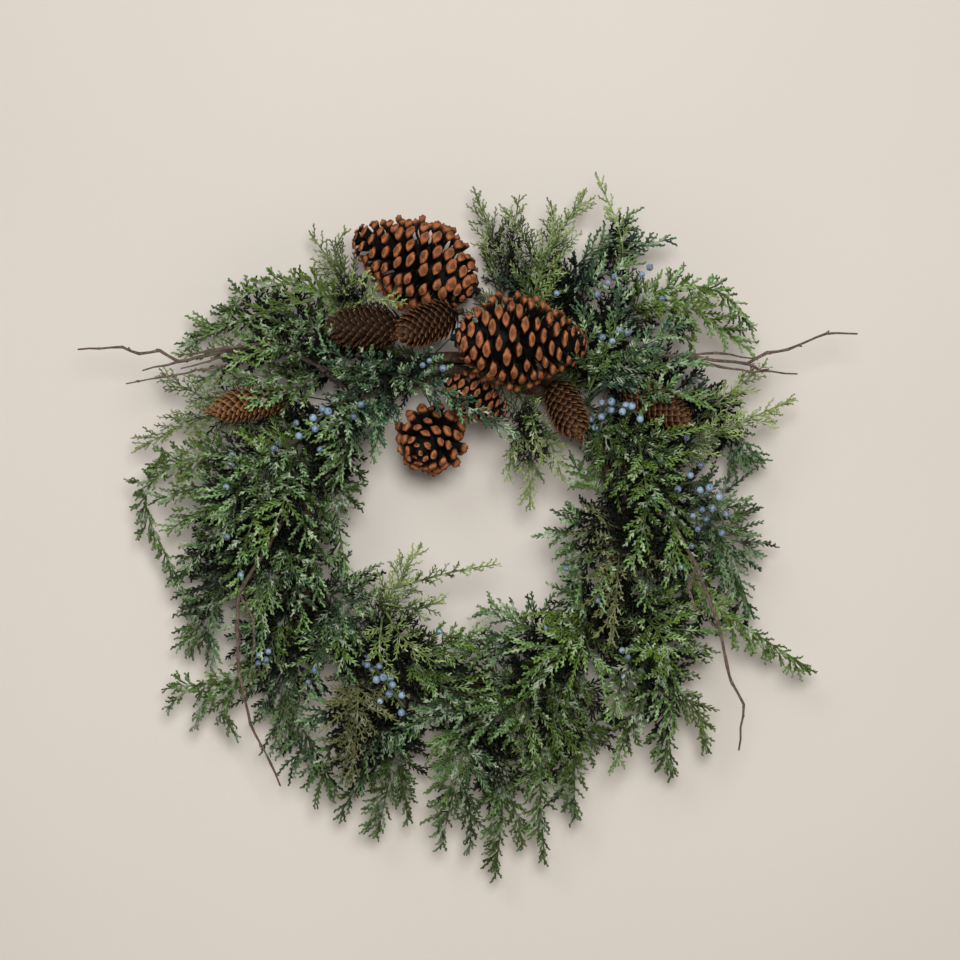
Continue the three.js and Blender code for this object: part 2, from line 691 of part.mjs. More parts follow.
// A twig: straight runs between its joints, thinner to the tip, with side shoots at some joints.
function twig([name, tie, way, shoots]) {
  const pointsAt = (reach) => [...leadPoints(tie, reach), ...way.map((p) => at(...p))];
  const halfAt = (i) => 1.9 - 1.1 * (i / (way.length + 3));
  const heading = (row, i) => {
    const after = row[Math.min(row.length - 1, i + 1)];
    return after.clone().sub(row[Math.max(0, i - 1)]).normalize();
  };
  const reach = seatReach((depth, more) => {
    const row = pointsAt(depth);
    const ringAt = (i) => ({ spot: row[i], along: heading(row, i), face: FORWARD, half: halfAt(i) + more });
    return endOf([0, 1, 2, 3].map(ringAt));
  });
  const points = pointsAt(reach);
  const along = (i) => heading(points, i);
  const g = new Growth(name);
  const lay = (spot, way, half) => g.ring(spot, way, FORWARD, half, half);
  let last = null;
  for (let i = 0; i < points.length - 1; i++) {
    const shoot = shoots.find(([joint]) => joint + 3 === i);
    const spots = shoot ? [-JOINT_LENGTH / 2, JOINT_LENGTH / 2] : [0];
    spots.forEach((step, k) => {
      const ring = lay(points[i].clone().addScaledVector(along(i), step), along(i), halfAt(i));
      if (!last) g.close(ring.slice().reverse());
      else if (k === 1) g.cell(last, ring, { [shoot[1]]: (quad) => sideShoot(g, name, quad, shoot, halfAt(i)) });
      else g.cell(last, ring);
      last = ring;
    });
    take(name, -1, points[i], points[i + 1], halfAt(i) * 1.35);
  }
  g.raise(last, points.at(-1));
  return g.geometry();
}

function sideShoot(g, name, quad, [, side, way], half) {
  const points = way.map((p) => at(...p));
  let last = turned(quad, side === 1 ? 3 : 1);
  let from = g.middle(quad);
  points.forEach((point, i) => {
    const along = point.clone().sub(from).normalize();
    const slim = half * (0.8 - (0.3 * i) / points.length);
    take(name, -1, from, point, slim * 1.35);
    if (i === points.length - 1) g.raise(last, point);
    else {
      const ring = g.ring(point, along, FORWARD, slim, slim);
      g.cell(last, ring);
      last = ring;
    }
    from = point;
  });
}

// ---- the whole wreath ----

const wreath = new THREE.Group();
wreath.name = "wreath";

function add(name, look, geometry) {
  const [material, roughness, colour] = LOOKS[look];
  const mesh = new THREE.Mesh(
    geometry,
    new THREE.MeshStandardMaterial({ name: material, color: colour, roughness, flatShading: true }),
  );
  mesh.name = name;
  wreath.add(mesh);
}

const pines = PINE_CONES.map(coneOf);
const spruces = SPRUCE_CONES.map(coneOf);
const ring = vine();
tied.push(solid(ring));
add("vine", "vine", ring);
pines.forEach((cone) => takeCone(cone, pineRadius));
spruces.forEach((cone) => takeCone(cone, spruceRadius));
add("binding_wire", "wire", wire([...pines, ...spruces]));
pines.forEach((cone) => add(cone.name, "pine", pineCone(cone)));
spruces.forEach((cone) => add(cone.name, "spruce", spruceCone(cone)));
TWIGS.forEach((spec) => add("twig_" + spec[0], "twig", twig(spec)));

const KINDS = {
  cedar: { stretch: 17, pair: ["frond", "frond"] },
  needle: { stretch: 12, needle: 0.8, open: 44, droop: 0 },
  fan: { stretch: 17, pair: ["frond", "frond"], open: 62, droop: 0.04 },
};

function plans(kind, table) {
  return table.map(([name, tie, way, reach], i) => {
    const options = { ...KINDS[kind], roll: radians(((i * 37) % 25) - 12) };
    const plan = layStem(kind + "_" + name, kind, tie, way, options.stretch, options);
    return { ...plan, reach };
  });
}

const berryPlans = BERRY.map(([name, tie, way]) =>
  layStem("berries_" + name, "berry", tie, way, 10, { bare: 60, tip: 6 }),
);
const sprayPlans = [...plans("cedar", CEDAR), ...plans("needle", NEEDLE), ...plans("fan", FAN)];
const random = randomFrom(41);
berryPlans.forEach((plan) => plan.bearing.forEach((place) => bearBerries(plan, place)));

// Limbs are laid a node at a time on every spray in turn, so that no spray takes all the room.
for (let order = 0; order < 30; order++)
  for (const plan of sprayPlans) {
    const place = plan.bearing[order];
    if (place) bearLimbs(plan, place, random);
  }
for (const plan of [...berryPlans, ...sprayPlans]) add(plan.name, plan.look, plan.g.geometry());

export default wreath;
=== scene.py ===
# A fresh evergreen wreath on a plain wall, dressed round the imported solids. Metres, +Z up, the
# front faces -Y, the wall is y = 0.025 and the origin is the underside of the ring's top.
import math
import bpy
import numpy as np
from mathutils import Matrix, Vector


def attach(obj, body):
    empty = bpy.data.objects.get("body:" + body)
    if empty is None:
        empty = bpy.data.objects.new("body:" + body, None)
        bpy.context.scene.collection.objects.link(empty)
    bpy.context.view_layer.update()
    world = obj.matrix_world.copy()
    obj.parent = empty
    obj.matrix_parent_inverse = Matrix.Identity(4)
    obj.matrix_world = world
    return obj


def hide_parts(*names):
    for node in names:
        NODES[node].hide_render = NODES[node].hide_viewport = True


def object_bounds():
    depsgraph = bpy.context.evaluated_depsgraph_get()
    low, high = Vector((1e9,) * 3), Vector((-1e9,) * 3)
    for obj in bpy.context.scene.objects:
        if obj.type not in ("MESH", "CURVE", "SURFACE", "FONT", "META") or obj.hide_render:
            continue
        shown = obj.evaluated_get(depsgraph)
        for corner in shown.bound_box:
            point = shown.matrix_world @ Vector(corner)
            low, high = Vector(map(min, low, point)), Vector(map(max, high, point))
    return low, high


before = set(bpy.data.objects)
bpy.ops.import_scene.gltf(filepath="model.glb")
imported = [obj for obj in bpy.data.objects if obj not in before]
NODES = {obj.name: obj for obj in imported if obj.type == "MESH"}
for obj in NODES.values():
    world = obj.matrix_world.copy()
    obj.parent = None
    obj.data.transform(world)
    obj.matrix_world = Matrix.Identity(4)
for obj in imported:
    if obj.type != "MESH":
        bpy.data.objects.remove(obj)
CAD_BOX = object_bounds()
MM = 0.001

# Driving dimensions, as in the solids, in millimetres.
RING_RADIUS = 150
TWIST_RADIUS = 8.8  # from the middle of the vine's bundle to the middle of a strand
STRAND_RADIUS = 5.6
TWISTS_PER_TURN = 2.75
HANG = 137.7  # from the origin down to the ring's centre
TIED = 13  # from the middle of the bundle to a stem, under its tie
LEAVING = 16  # and where the stem leaves the ring

# In metres: the wall's face, and how near a leaf's tip may come to it and to the solids' front.
WALL = 0.025
WALL_CLEAR = 0.003
FRONT_CLEAR = 0.004


def unit(v):
    return v / np.maximum(np.linalg.norm(v, axis=-1, keepdims=True), 1e-12)


def dot(a, b):
    return np.sum(a * b, axis=-1, keepdims=True)


def at(right, up, forward):
    """A point given in millimetres from the ring's centre: right, up and forward."""
    return np.array([right, -forward, up - HANG]) * MM


def points_of(mesh):
    """A mesh's points as rows of three."""
    raw = np.empty(len(mesh.vertices) * 3)
    mesh.vertices.foreach_get("co", raw)
    return raw.reshape(-1, 3)


# ---- meshes gathered as arrays ----


def each(value, count):
    """One value a point, from one for all or from a net of them."""
    return np.full(count, value) if np.ndim(value) == 0 else np.ravel(value)


class Gathered:
    """Points and triangles with two values a point: how far out it is, and a tint of its own."""

    def __init__(self):
        self.points, self.faces, self.out, self.tint = [], [], [], []
        self.count = 0

    def add(self, points, faces, out, tint):
        points = points.reshape(-1, 3)
        self.points.append(points)
        self.faces.append(faces.reshape(-1, 3) + self.count)
        self.out.append(each(out, len(points)))
        self.tint.append(each(tint, len(points)))
        self.count += len(points)

    def mesh(self, name, age=0.0):
        """The mesh, with a colour at each point that its finish reads: out, tint, the piece's age, and
        in alpha a leaf's painted shade for how deep it lies, which shade_inner_leaves sets."""
        points = np.concatenate(self.points)
        faces = np.concatenate(self.faces)
        mesh = bpy.data.meshes.new(name)
        mesh.from_pydata(points.tolist(), [], faces.tolist())
        layer = mesh.attributes.new("growth_and_shade", "FLOAT_COLOR", "POINT")
        values = np.ones((len(points), 4), np.float32)
        values[:, 0] = np.concatenate(self.out)
        values[:, 1] = np.concatenate(self.tint)
        values[:, 2] = age
        layer.data.foreach_set("color", values.ravel())
        mesh.polygons.foreach_set("use_smooth", np.ones(len(faces), bool))
        mesh.update()
        return mesh


def loft(body, centres, across, rise, wide, high, sides, out, tint, apex=None, apex_out=None, sharp=0.0,
         rough=None):
    """Rings of points about rows of centres, joined along each row, and to an apex if one is given.
    Sharp pinches the rings to a diamond, and rough is a source of random numbers and their size."""
    count, rows = centres.shape[:2]
    angle = 2 * np.pi * np.arange(sides) / sides
    pinch = 1 - sharp * np.sin(2 * angle) ** 2
    one = across[:, :, None] * (wide[..., None] * np.cos(angle) * pinch)[..., None]
    two = rise[:, :, None] * (high[..., None] * np.sin(angle) * pinch)[..., None]
    ring = (centres[:, :, None] + one + two).reshape(count, rows * sides, 3)
    if rough:
        ring = ring + rough[0].normal(0, rough[1], ring.shape)
    out = np.repeat(np.broadcast_to(out, (count, rows)), sides, axis=1)
    k = np.arange(sides)
    n = (k + 1) % sides
    faces = []
    for row in range(rows - 1):
        low, up = row * sides, (row + 1) * sides
        faces.append(np.stack([low + k, low + n, up + n], 1))
        faces.append(np.stack([low + k, up + n, up + k], 1))
    per = rows * sides
    if apex is not None:
        last = (rows - 1) * sides
        faces.append(np.stack([last + k, last + n, np.full(sides, per)], 1))
        ring = np.concatenate([ring, apex[:, None]], 1)
        out = np.concatenate([out, out[:, -1:] if apex_out is None else apex_out[:, None]], 1)
        per += 1
    faces = np.concatenate(faces)
    faces = faces[None] + (np.arange(count) * per)[:, None, None]
    tint = np.repeat(np.broadcast_to(tint, (count,))[:, None], per, axis=1)
    body.add(ring, faces, out, tint)


def spikes(body, start, end, radius, normal, out0, out1, tint, flat=1.0):
    """Small pointed leaves whose feet lie inside the shoot that bears them."""
    across = unit(np.cross(end - start, normal))
    rise = unit(np.cross(across, end - start))
    angle = 2 * np.pi * (np.arange(3) / 3 + 0.25)
    ring = start[:, None] + across[:, None] * (radius[:, None] * np.cos(angle))[..., None]
    ring = ring + rise[:, None] * (radius[:, None] * flat * np.sin(angle))[..., None]
    points = np.concatenate([ring, end[:, None]], 1)
    faces = np.array([[0, 1, 3], [1, 2, 3], [2, 0, 3]])[None] + (np.arange(len(start)) * 4)[:, None, None]
    body.add(points, faces, np.stack([out0, out0, out0, out1], 1), np.repeat(tint[:, None], 4, 1))


# ---- materials ----


def linear(hexa):
    """An sRGB hex colour as linear RGBA."""
    parts = [int(hexa[i:i + 2], 16) / 255 for i in (0, 2, 4)]
    return [c / 12.92 if c <= 0.04045 else ((c + 0.055) / 1.055) ** 2.4 for c in parts] + [1.0]


def bumps(size):
    """The scale of a noise whose bumps are so many millimetres across."""
    return 1 / (size * MM)


def add(tree, kind, inputs=(), output=0, stops=(), **settings):
    """Adds a node with its settings, values and links, and gives back one of its outputs."""
    node = tree.nodes.new("ShaderNode" + kind)
    for setting, value in settings.items():
        setattr(node, setting, value)
    for k, (place, hexa) in enumerate(stops):
        stop = node.color_ramp.elements[k] if k < 2 else node.color_ramp.elements.new(place)
        stop.position = place
        stop.color = linear(hexa)
    for socket, value in dict(inputs).items():
        if isinstance(value, bpy.types.NodeSocket):
            tree.links.new(value, node.inputs[socket])
        else:
            node.inputs[socket].default_value = value
    return node.outputs[output]


def new_finish(name, **sockets):
    """A material with the values that are the same all over it: itself, its nodes and its shader."""
    material = bpy.data.materials.new(name)
    material.use_nodes = True
    shader = material.node_tree.nodes["Principled BSDF"]
    for socket, value in sockets.items():
        shader.inputs[socket.replace("_", " ")].default_value = value
    return material, material.node_tree, shader


def scale_leaves(name, dark, mid, light, fresh, bloom):
    """Living scale leaves, a waxy skin with hardly any gloss. To the eye they are yellower at the
    young tips and frosted in patches by a pale bloom, which also serves as painted highlight.
    Leaves that lie deep, near the wall and low down are darkened as painted shade, and the foot of
    each branchlet is painted dark brown, partly woody bark and partly painted shade."""
    material, tree, shader = new_finish(name, Roughness=0.45, Specular_IOR_Level=0.2)
    place = add(tree, "TexCoord", output="Object")
    growth_and_shade = add(tree, "Attribute", output="Color", attribute_name="growth_and_shade")
    # The alpha is each leaf's painted shade.
    shade_depth = add(tree, "Attribute", output="Alpha", attribute_name="growth_and_shade")
    out = add(tree, "SeparateColor", {"Color": growth_and_shade}, "Red")
    tint = add(tree, "SeparateColor", {"Color": growth_and_shade}, "Green")
    age = add(tree, "SeparateColor", {"Color": growth_and_shade}, "Blue")
    body = add(tree, "ValToRGB", {"Fac": tint}, stops=((0.0, dark), (0.5, mid), (1.0, light)))
    # A spray with no yellow in it is bluer, and one with much is warmer.
    blue = add(tree, "MapRange", {"Value": age, "From Max": 0.2, "To Min": 0.4, "To Max": 0.0})
    body = add(tree, "Mix", {0: blue, 6: body, 7: linear("4a6c59")}, 2, data_type="RGBA")
    warm = add(tree, "Math", {0: age, 1: 0.6}, operation="MULTIPLY")
    body = add(tree, "Mix", {0: warm, 6: body, 7: linear(fresh)}, 2, data_type="RGBA")
    # The foot of each branchlet is painted dark brown: partly its woody bark, partly painted shade where it
    # lies inside the spray.
    woody_and_shade = add(tree, "MapRange", {"Value": out, "From Max": 0.4, "To Min": 0.7, "To Max": 0.0})
    body = add(tree, "Mix", {0: woody_and_shade, 6: body, 7: linear("2a2a17")}, 2, data_type="RGBA")
    # Fresher growth in drifts of about 45 mm.
    drift = add(tree, "TexNoise", {"Vector": place, "Scale": bumps(45.45), "Detail": 2.0})
    drift = add(tree, "MapRange", {"Value": drift, "From Min": 0.46, "From Max": 0.68, "To Max": 0.45})
    body = add(tree, "Mix", {0: drift, 6: body, 7: linear(fresh)}, 2, data_type="RGBA")
    # Pale patches of about 9 mm: the waxy bloom, which also serves as painted highlight where the leaves'
    # gloss would glint.
    bloom_and_highlight = add(tree, "TexNoise", {"Vector": place, "Scale": bumps(9.09), "Detail": 5.0})
    bloom_and_highlight = add(tree, "MapRange", {"Value": bloom_and_highlight, "From Min": 0.52, "From Max": 0.66, "To Max": 0.7})
    body = add(tree, "Mix", {0: bloom_and_highlight, 6: body, 7: linear(bloom)}, 2, data_type="RGBA")
    # The tips, the more so on a young spray or a light shoot.
    young = add(tree, "Math", {0: tint, 1: 0.35}, operation="MULTIPLY")
    young = add(tree, "Math", {0: age, 1: young}, operation="ADD")
    tip = add(tree, "MapRange", {"Value": out, "From Min": 0.55})
    tip = add(tree, "Math", {0: tip, 1: young}, operation="MULTIPLY", use_clamp=True)
    body = add(tree, "Mix", {0: tip, 6: body, 7: linear(fresh)}, 2, data_type="RGBA")
    # Painted shade: leaves that lie deep behind the front, near the wall and low down darken towards near
    # black, by the alpha that shade_inner_leaves sets.
    inner_shade = add(tree, "Math", {0: shade_depth, 1: 0.98}, operation="MULTIPLY")
    body = add(tree, "Mix", {0: inner_shade, 6: body, 7: linear("070b06")}, 2, data_type="RGBA")
    # Single leaves, 1.2 mm long.
    leaf = add(tree, "TexNoise", {"Vector": place, "Scale": bumps(1.176), "Detail": 1.0})
    normal = add(tree, "Bump", {"Height": leaf, "Distance": 0.0004, "Strength": 0.55})
    tree.links.new(body, shader.inputs["Base Color"])
    tree.links.new(normal, shader.inputs["Normal"])
    return material


def pine_cone_wood():
    """Weathered wood of an open pine cone, dry and matt. To the eye each knob is russet and browner
    at its beak, with rough grain. The shafts and the core are painted nearly black, a painted shade in
    the gaps, and the swell of each knob is painted paler, a painted highlight."""
    material, tree, shader = new_finish("pine_cone_scale", Roughness=0.62, Specular_IOR_Level=0.25)
    place = add(tree, "TexCoord", output="Object")
    growth_and_shade = add(tree, "Attribute", output="Color", attribute_name="growth_and_shade")
    out = add(tree, "SeparateColor", {"Color": growth_and_shade}, "Red")
    tint = add(tree, "SeparateColor", {"Color": growth_and_shade}, "Green")
    # Along each scale: near black up to about 0.7, painted shade in the gaps between the knobs; then the
    # knob's russet, palest on its swell as a painted highlight, and browner at its beak.
    scale_colour_shade_and_highlight = add(tree, "ValToRGB", {"Fac": out}, stops=(
        (0.0, "030202"), (0.4, "080402"), (0.7, "180c07"), (0.82, "452514"), (0.91, "a5623b"),
        (0.97, "b8754a"), (1.0, "74452a")))
    # Grain of about 4 mm, with pores of 1.1 mm in it.
    grain = add(tree, "TexNoise", {"Vector": place, "Scale": bumps(3.846), "Detail": 4.0,
                                   "Distortion": 0.6})
    pores = add(tree, "TexNoise", {"Vector": place, "Scale": bumps(1.111), "Detail": 3.0})
    streak = add(tree, "MapRange", {"Value": grain, "From Min": 0.42, "From Max": 0.7, "To Max": 0.6})
    knob = add(tree, "Mix", {0: streak, 6: scale_colour_shade_and_highlight, 7: linear("5a2f1b")}, 2, data_type="RGBA")
    pale = add(tree, "Math", {0: tint, 1: 0.34}, operation="MULTIPLY")
    knob = add(tree, "Mix", {0: pale, 6: knob, 7: linear("8f5533")}, 2, data_type="RGBA")
    # The shafts keep the ramp's painted shade, with no grain or tint over it.
    shaft = add(tree, "MapRange", {"Value": out, "From Min": 0.66, "From Max": 0.86, "To Min": 1.0,
                                   "To Max": 0.0})
    body = add(tree, "Mix", {0: shaft, 6: knob, 7: scale_colour_shade_and_highlight}, 2, data_type="RGBA")
    height = add(tree, "Math", {0: grain, 1: pores}, operation="ADD")
    normal = add(tree, "Bump", {"Height": height, "Distance": 0.0014, "Strength": 0.8})
    tree.links.new(body, shader.inputs["Base Color"])
    tree.links.new(normal, shader.inputs["Normal"])
    return material


def spruce_cone_wood():
    """Thin scales of a closed spruce cone, papery and matt. To the eye each has a light rim, and
    some cones are more orange than others. Where each lies under the one over it, it is painted
    nearly black, a painted shade."""
    material, tree, shader = new_finish("spruce_cone_scale", Roughness=0.68, Specular_IOR_Level=0.2)
    place = add(tree, "TexCoord", output="Object")
    growth_and_shade = add(tree, "Attribute", output="Color", attribute_name="growth_and_shade")
    out = add(tree, "SeparateColor", {"Color": growth_and_shade}, "Red")
    age = add(tree, "SeparateColor", {"Color": growth_and_shade}, "Blue")
    # Near black where a scale lies under the one over it, a painted shade, up to a light brown rim.
    body = add(tree, "ValToRGB", {"Fac": out}, stops=(
        (0.0, "050302"), (0.45, "0f0906"), (0.75, "1a0e08"), (1.0, "8e5f3a")))
    # Fibres of about 2 mm.
    fibre = add(tree, "TexNoise", {"Vector": place, "Scale": bumps(2.0), "Detail": 3.0})
    streak = add(tree, "MapRange", {"Value": fibre, "From Min": 0.45, "From Max": 0.7, "To Max": 0.22})
    body = add(tree, "Mix", {0: streak, 6: body, 7: linear("54341f")}, 2, data_type="RGBA")
    bare = add(tree, "MapRange", {"Value": out, "From Min": 0.1, "From Max": 0.6})
    bare = add(tree, "Math", {0: age, 1: bare}, operation="MULTIPLY")
    body = add(tree, "Mix", {0: bare, 6: body, 7: linear("9c6c45")}, 2, data_type="RGBA")
    normal = add(tree, "Bump", {"Height": fibre, "Distance": 0.0004, "Strength": 0.5})
    tree.links.new(body, shader.inputs["Base Color"])
    tree.links.new(normal, shader.inputs["Normal"])
    return material


def dry_bark(name, dark, mid, light, flakes):
    """Dry bark with no gloss. To the eye it is mottled: coarse flakes, so many millimetres across,
    with fibres a sixth of their size over them."""
    material, tree, shader = new_finish(name, Roughness=0.8)
    place = add(tree, "TexCoord", output="Object")
    growth_and_shade = add(tree, "Attribute", output="Color", attribute_name="growth_and_shade")
    tint = add(tree, "SeparateColor", {"Color": growth_and_shade}, "Green")
    coarse = add(tree, "TexNoise", {"Vector": place, "Scale": bumps(flakes), "Detail": 4.0,
                                    "Distortion": 1.2})
    fine = add(tree, "TexNoise", {"Vector": place, "Scale": bumps(flakes / 6), "Detail": 3.0})
    mottle = add(tree, "Math", {0: coarse, 1: fine}, operation="MULTIPLY")
    tint = add(tree, "Math", {0: tint, 1: 0.12}, operation="MULTIPLY")
    mottle = add(tree, "Math", {0: mottle, 1: tint}, operation="ADD")
    body = add(tree, "ValToRGB", {"Fac": mottle}, stops=((0.12, dark), (0.3, mid), (0.48, light)))
    height = add(tree, "Math", {0: coarse, 1: fine}, operation="ADD")
    normal = add(tree, "Bump", {"Height": height, "Distance": 0.0012, "Strength": 0.7})
    tree.links.new(body, shader.inputs["Base Color"])
    tree.links.new(normal, shader.inputs["Normal"])
    return material


def juniper_berry_skin():
    """Ripe juniper berries under their bloom, satin. To the eye they are dusty blue with darker
    rubbed places and a dark navel, and their stalks are green."""
    material, tree, shader = new_finish("juniper_berry", Roughness=0.5)
    place = add(tree, "TexCoord", output="Object")
    growth_and_shade = add(tree, "Attribute", output="Color", attribute_name="growth_and_shade")
    out = add(tree, "SeparateColor", {"Color": growth_and_shade}, "Red")
    tint = add(tree, "SeparateColor", {"Color": growth_and_shade}, "Green")
    body = add(tree, "ValToRGB", {"Fac": tint}, stops=((0.0, "2b3550"), (0.45, "547092"), (1.0, "88a3bd")))
    # The bloom is rubbed in patches of about 2 mm.
    bloom = add(tree, "TexNoise", {"Vector": place, "Scale": bumps(2.083), "Detail": 3.0})
    bloom = add(tree, "MapRange", {"Value": bloom, "From Min": 0.36, "From Max": 0.68, "To Max": 0.55})
    body = add(tree, "Mix", {0: bloom, 6: body, 7: linear("aabccb")}, 2, data_type="RGBA")
    navel = add(tree, "MapRange", {"Value": out, "From Min": 0.9})
    body = add(tree, "Mix", {0: navel, 6: body, 7: linear("3a3f5c")}, 2, data_type="RGBA")
    stem = add(tree, "MapRange", {"Value": out, "From Min": 0.05, "From Max": 0.25, "To Min": 1.0,
                                  "To Max": 0.0})
    body = add(tree, "Mix", {0: stem, 6: body, 7: linear("39442a")}, 2, data_type="RGBA")
    # Skin grain of 1.4 mm, coarser than the real one, so that it shows.
    grain = add(tree, "TexNoise", {"Vector": place, "Scale": bumps(1.429), "Detail": 3.0})
    normal = add(tree, "Bump", {"Height": grain, "Distance": 0.0002, "Strength": 0.3})
    tree.links.new(body, shader.inputs["Base Color"])
    tree.links.new(normal, shader.inputs["Normal"])
    return material


def enamelled_wire():
    """Florist's iron wire in baked green enamel. To the eye it is a dark green that glints a little
    and varies where the enamel is thin."""
    material, tree, shader = new_finish("green_wire", Roughness=0.38, Coat_Weight=0.2)
    place = add(tree, "TexCoord", output="Object")
    # Thin places about 3 mm apart, and a fine roughness of 0.7 mm.
    thin = add(tree, "TexNoise", {"Vector": place, "Scale": bumps(3.333), "Detail": 3.0})
    body = add(tree, "ValToRGB", {"Fac": thin}, stops=((0.3, "22382a"), (0.7, "335540")))
    grain = add(tree, "TexNoise", {"Vector": place, "Scale": bumps(0.667), "Detail": 3.0})
    normal = add(tree, "Bump", {"Height": grain, "Distance": 0.0001, "Strength": 0.2})
    tree.links.new(body, shader.inputs["Base Color"])
    tree.links.new(normal, shader.inputs["Normal"])
    return material


def matt_wall_paint():
    """Matt emulsion rolled on plaster. To the eye it is a warm grey white with slow changes of
    tone and a faint stipple. Its back is clear, so that the wreath can be seen from behind."""
    material, tree, shader = new_finish("wall_paint", Roughness=0.9)
    place = add(tree, "TexCoord", output="Object")
    # Changes of tone about 0.8 m across, and a stipple of 6 mm.
    tone = add(tree, "TexNoise", {"Vector": place, "Scale": bumps(833.3), "Detail": 3.0})
    body = add(tree, "ValToRGB", {"Fac": tone}, stops=((0.3, "d1cbc3"), (0.7, "d7d1c9")))
    stipple = add(tree, "TexNoise", {"Vector": place, "Scale": bumps(6.25), "Detail": 3.0})
    normal = add(tree, "Bump", {"Height": stipple, "Distance": 0.0006, "Strength": 0.25})
    clear = add(tree, "BsdfTransparent")
    back = add(tree, "NewGeometry", output="Backfacing")
    both = add(tree, "MixShader", {0: back, 1: shader.outputs[0], 2: clear})
    tree.links.new(body, shader.inputs["Base Color"])
    tree.links.new(normal, shader.inputs["Normal"])
    tree.links.new(both, tree.nodes["Material Output"].inputs["Surface"])
    return material


LOOKS = {
    # Each foliage finish's last colour is the pale bloom, which also serves as painted highlight.
    "dark_cedar": scale_leaves("dark_cedar", "0b190f", "1f3c25", "84af74", "7f9c3e", "c9dabd"),
    "light_juniper": scale_leaves("light_juniper", "2a3f20", "5e7942", "a8bd7a", "9db05f", "c4d0aa"),
    "olive_arborvitae": scale_leaves("olive_arborvitae", "3a412a", "5b633f", "80855a", "898d52", "9b9f86"),
    "pine_cone_scale": pine_cone_wood(),
    "spruce_cone_scale": spruce_cone_wood(),
    "vine_bark": dry_bark("vine_bark", "241811", "4a3527", "7c624c", 7.692),
    "twig_bark": dry_bark("twig_bark", "2a201b", "5a4941", "8e7a6b", 4.545),
    "juniper_berry": juniper_berry_skin(),
    "green_wire": enamelled_wire(),
}


def piece(name, body, slot, *nodes, age=0.0):
    """Makes a piece from its gathered mesh, gives it its finish, and ties it to the part."""
    mesh = body.mesh(name, age)
    made = bpy.data.objects.new(name, mesh)
    bpy.context.scene.collection.objects.link(made)
    mesh.materials.append(LOOKS[slot])
    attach(made, "root")
    if nodes:
        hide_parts(*nodes)
    return made


# ---- paths of stems ----


def round_ring(clock, seat, reach):
    """A point round the ring's bundle: clock from the top, seat from outward towards the front."""
    c, s = math.radians(clock), math.radians(seat)
    radial = RING_RADIUS + reach * math.cos(s)
    return at(radial * math.sin(c), radial * math.cos(c), reach * math.sin(s))


def curve(points, count):
    """A smooth path through points, with count places evenly spread over its knots."""
    points = np.asarray(points)
    p = np.vstack([2 * points[0] - points[1], points, 2 * points[-1] - points[-2]])
    knots = np.concatenate([[0], np.cumsum(np.linalg.norm(np.diff(p, axis=0), axis=1) ** 0.5)])
    places = []
    for t in np.linspace(knots[1], knots[-2], count):
        i = min(max(np.searchsorted(knots, t) - 1, 1), len(p) - 3)
        k = knots[i - 1:i + 3]
        row = p[i - 1:i + 3]
        for spans in (((0, 1), (1, 2), (2, 3)), ((0, 2), (1, 3)), ((1, 2),)):
            row = [((k[b] - t) * row[j] + (t - k[a]) * row[j + 1]) / (k[b] - k[a])
                   for j, (a, b) in enumerate(spans)]
        places.append(row[0])
    return np.array(places)


def stem_path(tie, way, count=48, smooth=True):
    """Where a stem runs: along the ring under its tie, then off through its points."""
    clock, seat, turn = tie
    lead = [round_ring(clock - 5 * turn, seat, TIED), round_ring(clock, seat, TIED),
            round_ring(clock + 6 * turn, seat, LEAVING)]
    points = lead + [at(*p) for p in way]
    return curve(points, count) if smooth else np.array(points)


def headings(path):
    """Which way a path runs at each of its places."""
    ahead = np.vstack([path[1:], path[-1:]])
    behind = np.vstack([path[:1], path[:-1]])
    return unit(ahead - behind)


def tube(body, path, radii, sides, out, tint):
    """A round stem along a path, with a radius at each place and a blunt point at its end."""
    along = headings(path)
    across = unit(np.cross(along, np.array([0.05, -1.0, 0.1])))
    rise = unit(np.cross(across, along))
    radii = np.broadcast_to(radii, (len(path),))
    tip = (path[-1] + along[-1] * radii[-1])[None]
    loft(body, path[None], across[None], rise[None], radii[None], radii[None], sides,
         np.broadcast_to(out, (len(path),))[None], np.array([tint]), apex=tip)


# ---- cones ----

GOLDEN = math.radians(137.508)


def axis_frame(base, apex):
    """A cone's base, axis and length, and two ways across its axis."""
    start, end = at(*base), at(*apex)
    length = np.linalg.norm(end - start)
    axis = (end - start) / length
    u = unit(np.cross([0.2, 0.3, 1.0], axis))
    return start, axis, length, u, np.cross(axis, u)


PINE_BROADEST = 0.38  # where along its length an open cone is broadest


def pine_radius(t):
    """An open cone's radius along its axis, as a share of the broadest."""
    swell = 0.45 + 0.55 * np.sin(math.pi / 2 * t / PINE_BROADEST)
    close = 0.2 + 0.8 * np.cos(math.pi / 2 * (t - PINE_BROADEST) / (1 - PINE_BROADEST))
    return np.where(t < PINE_BROADEST, swell, close)


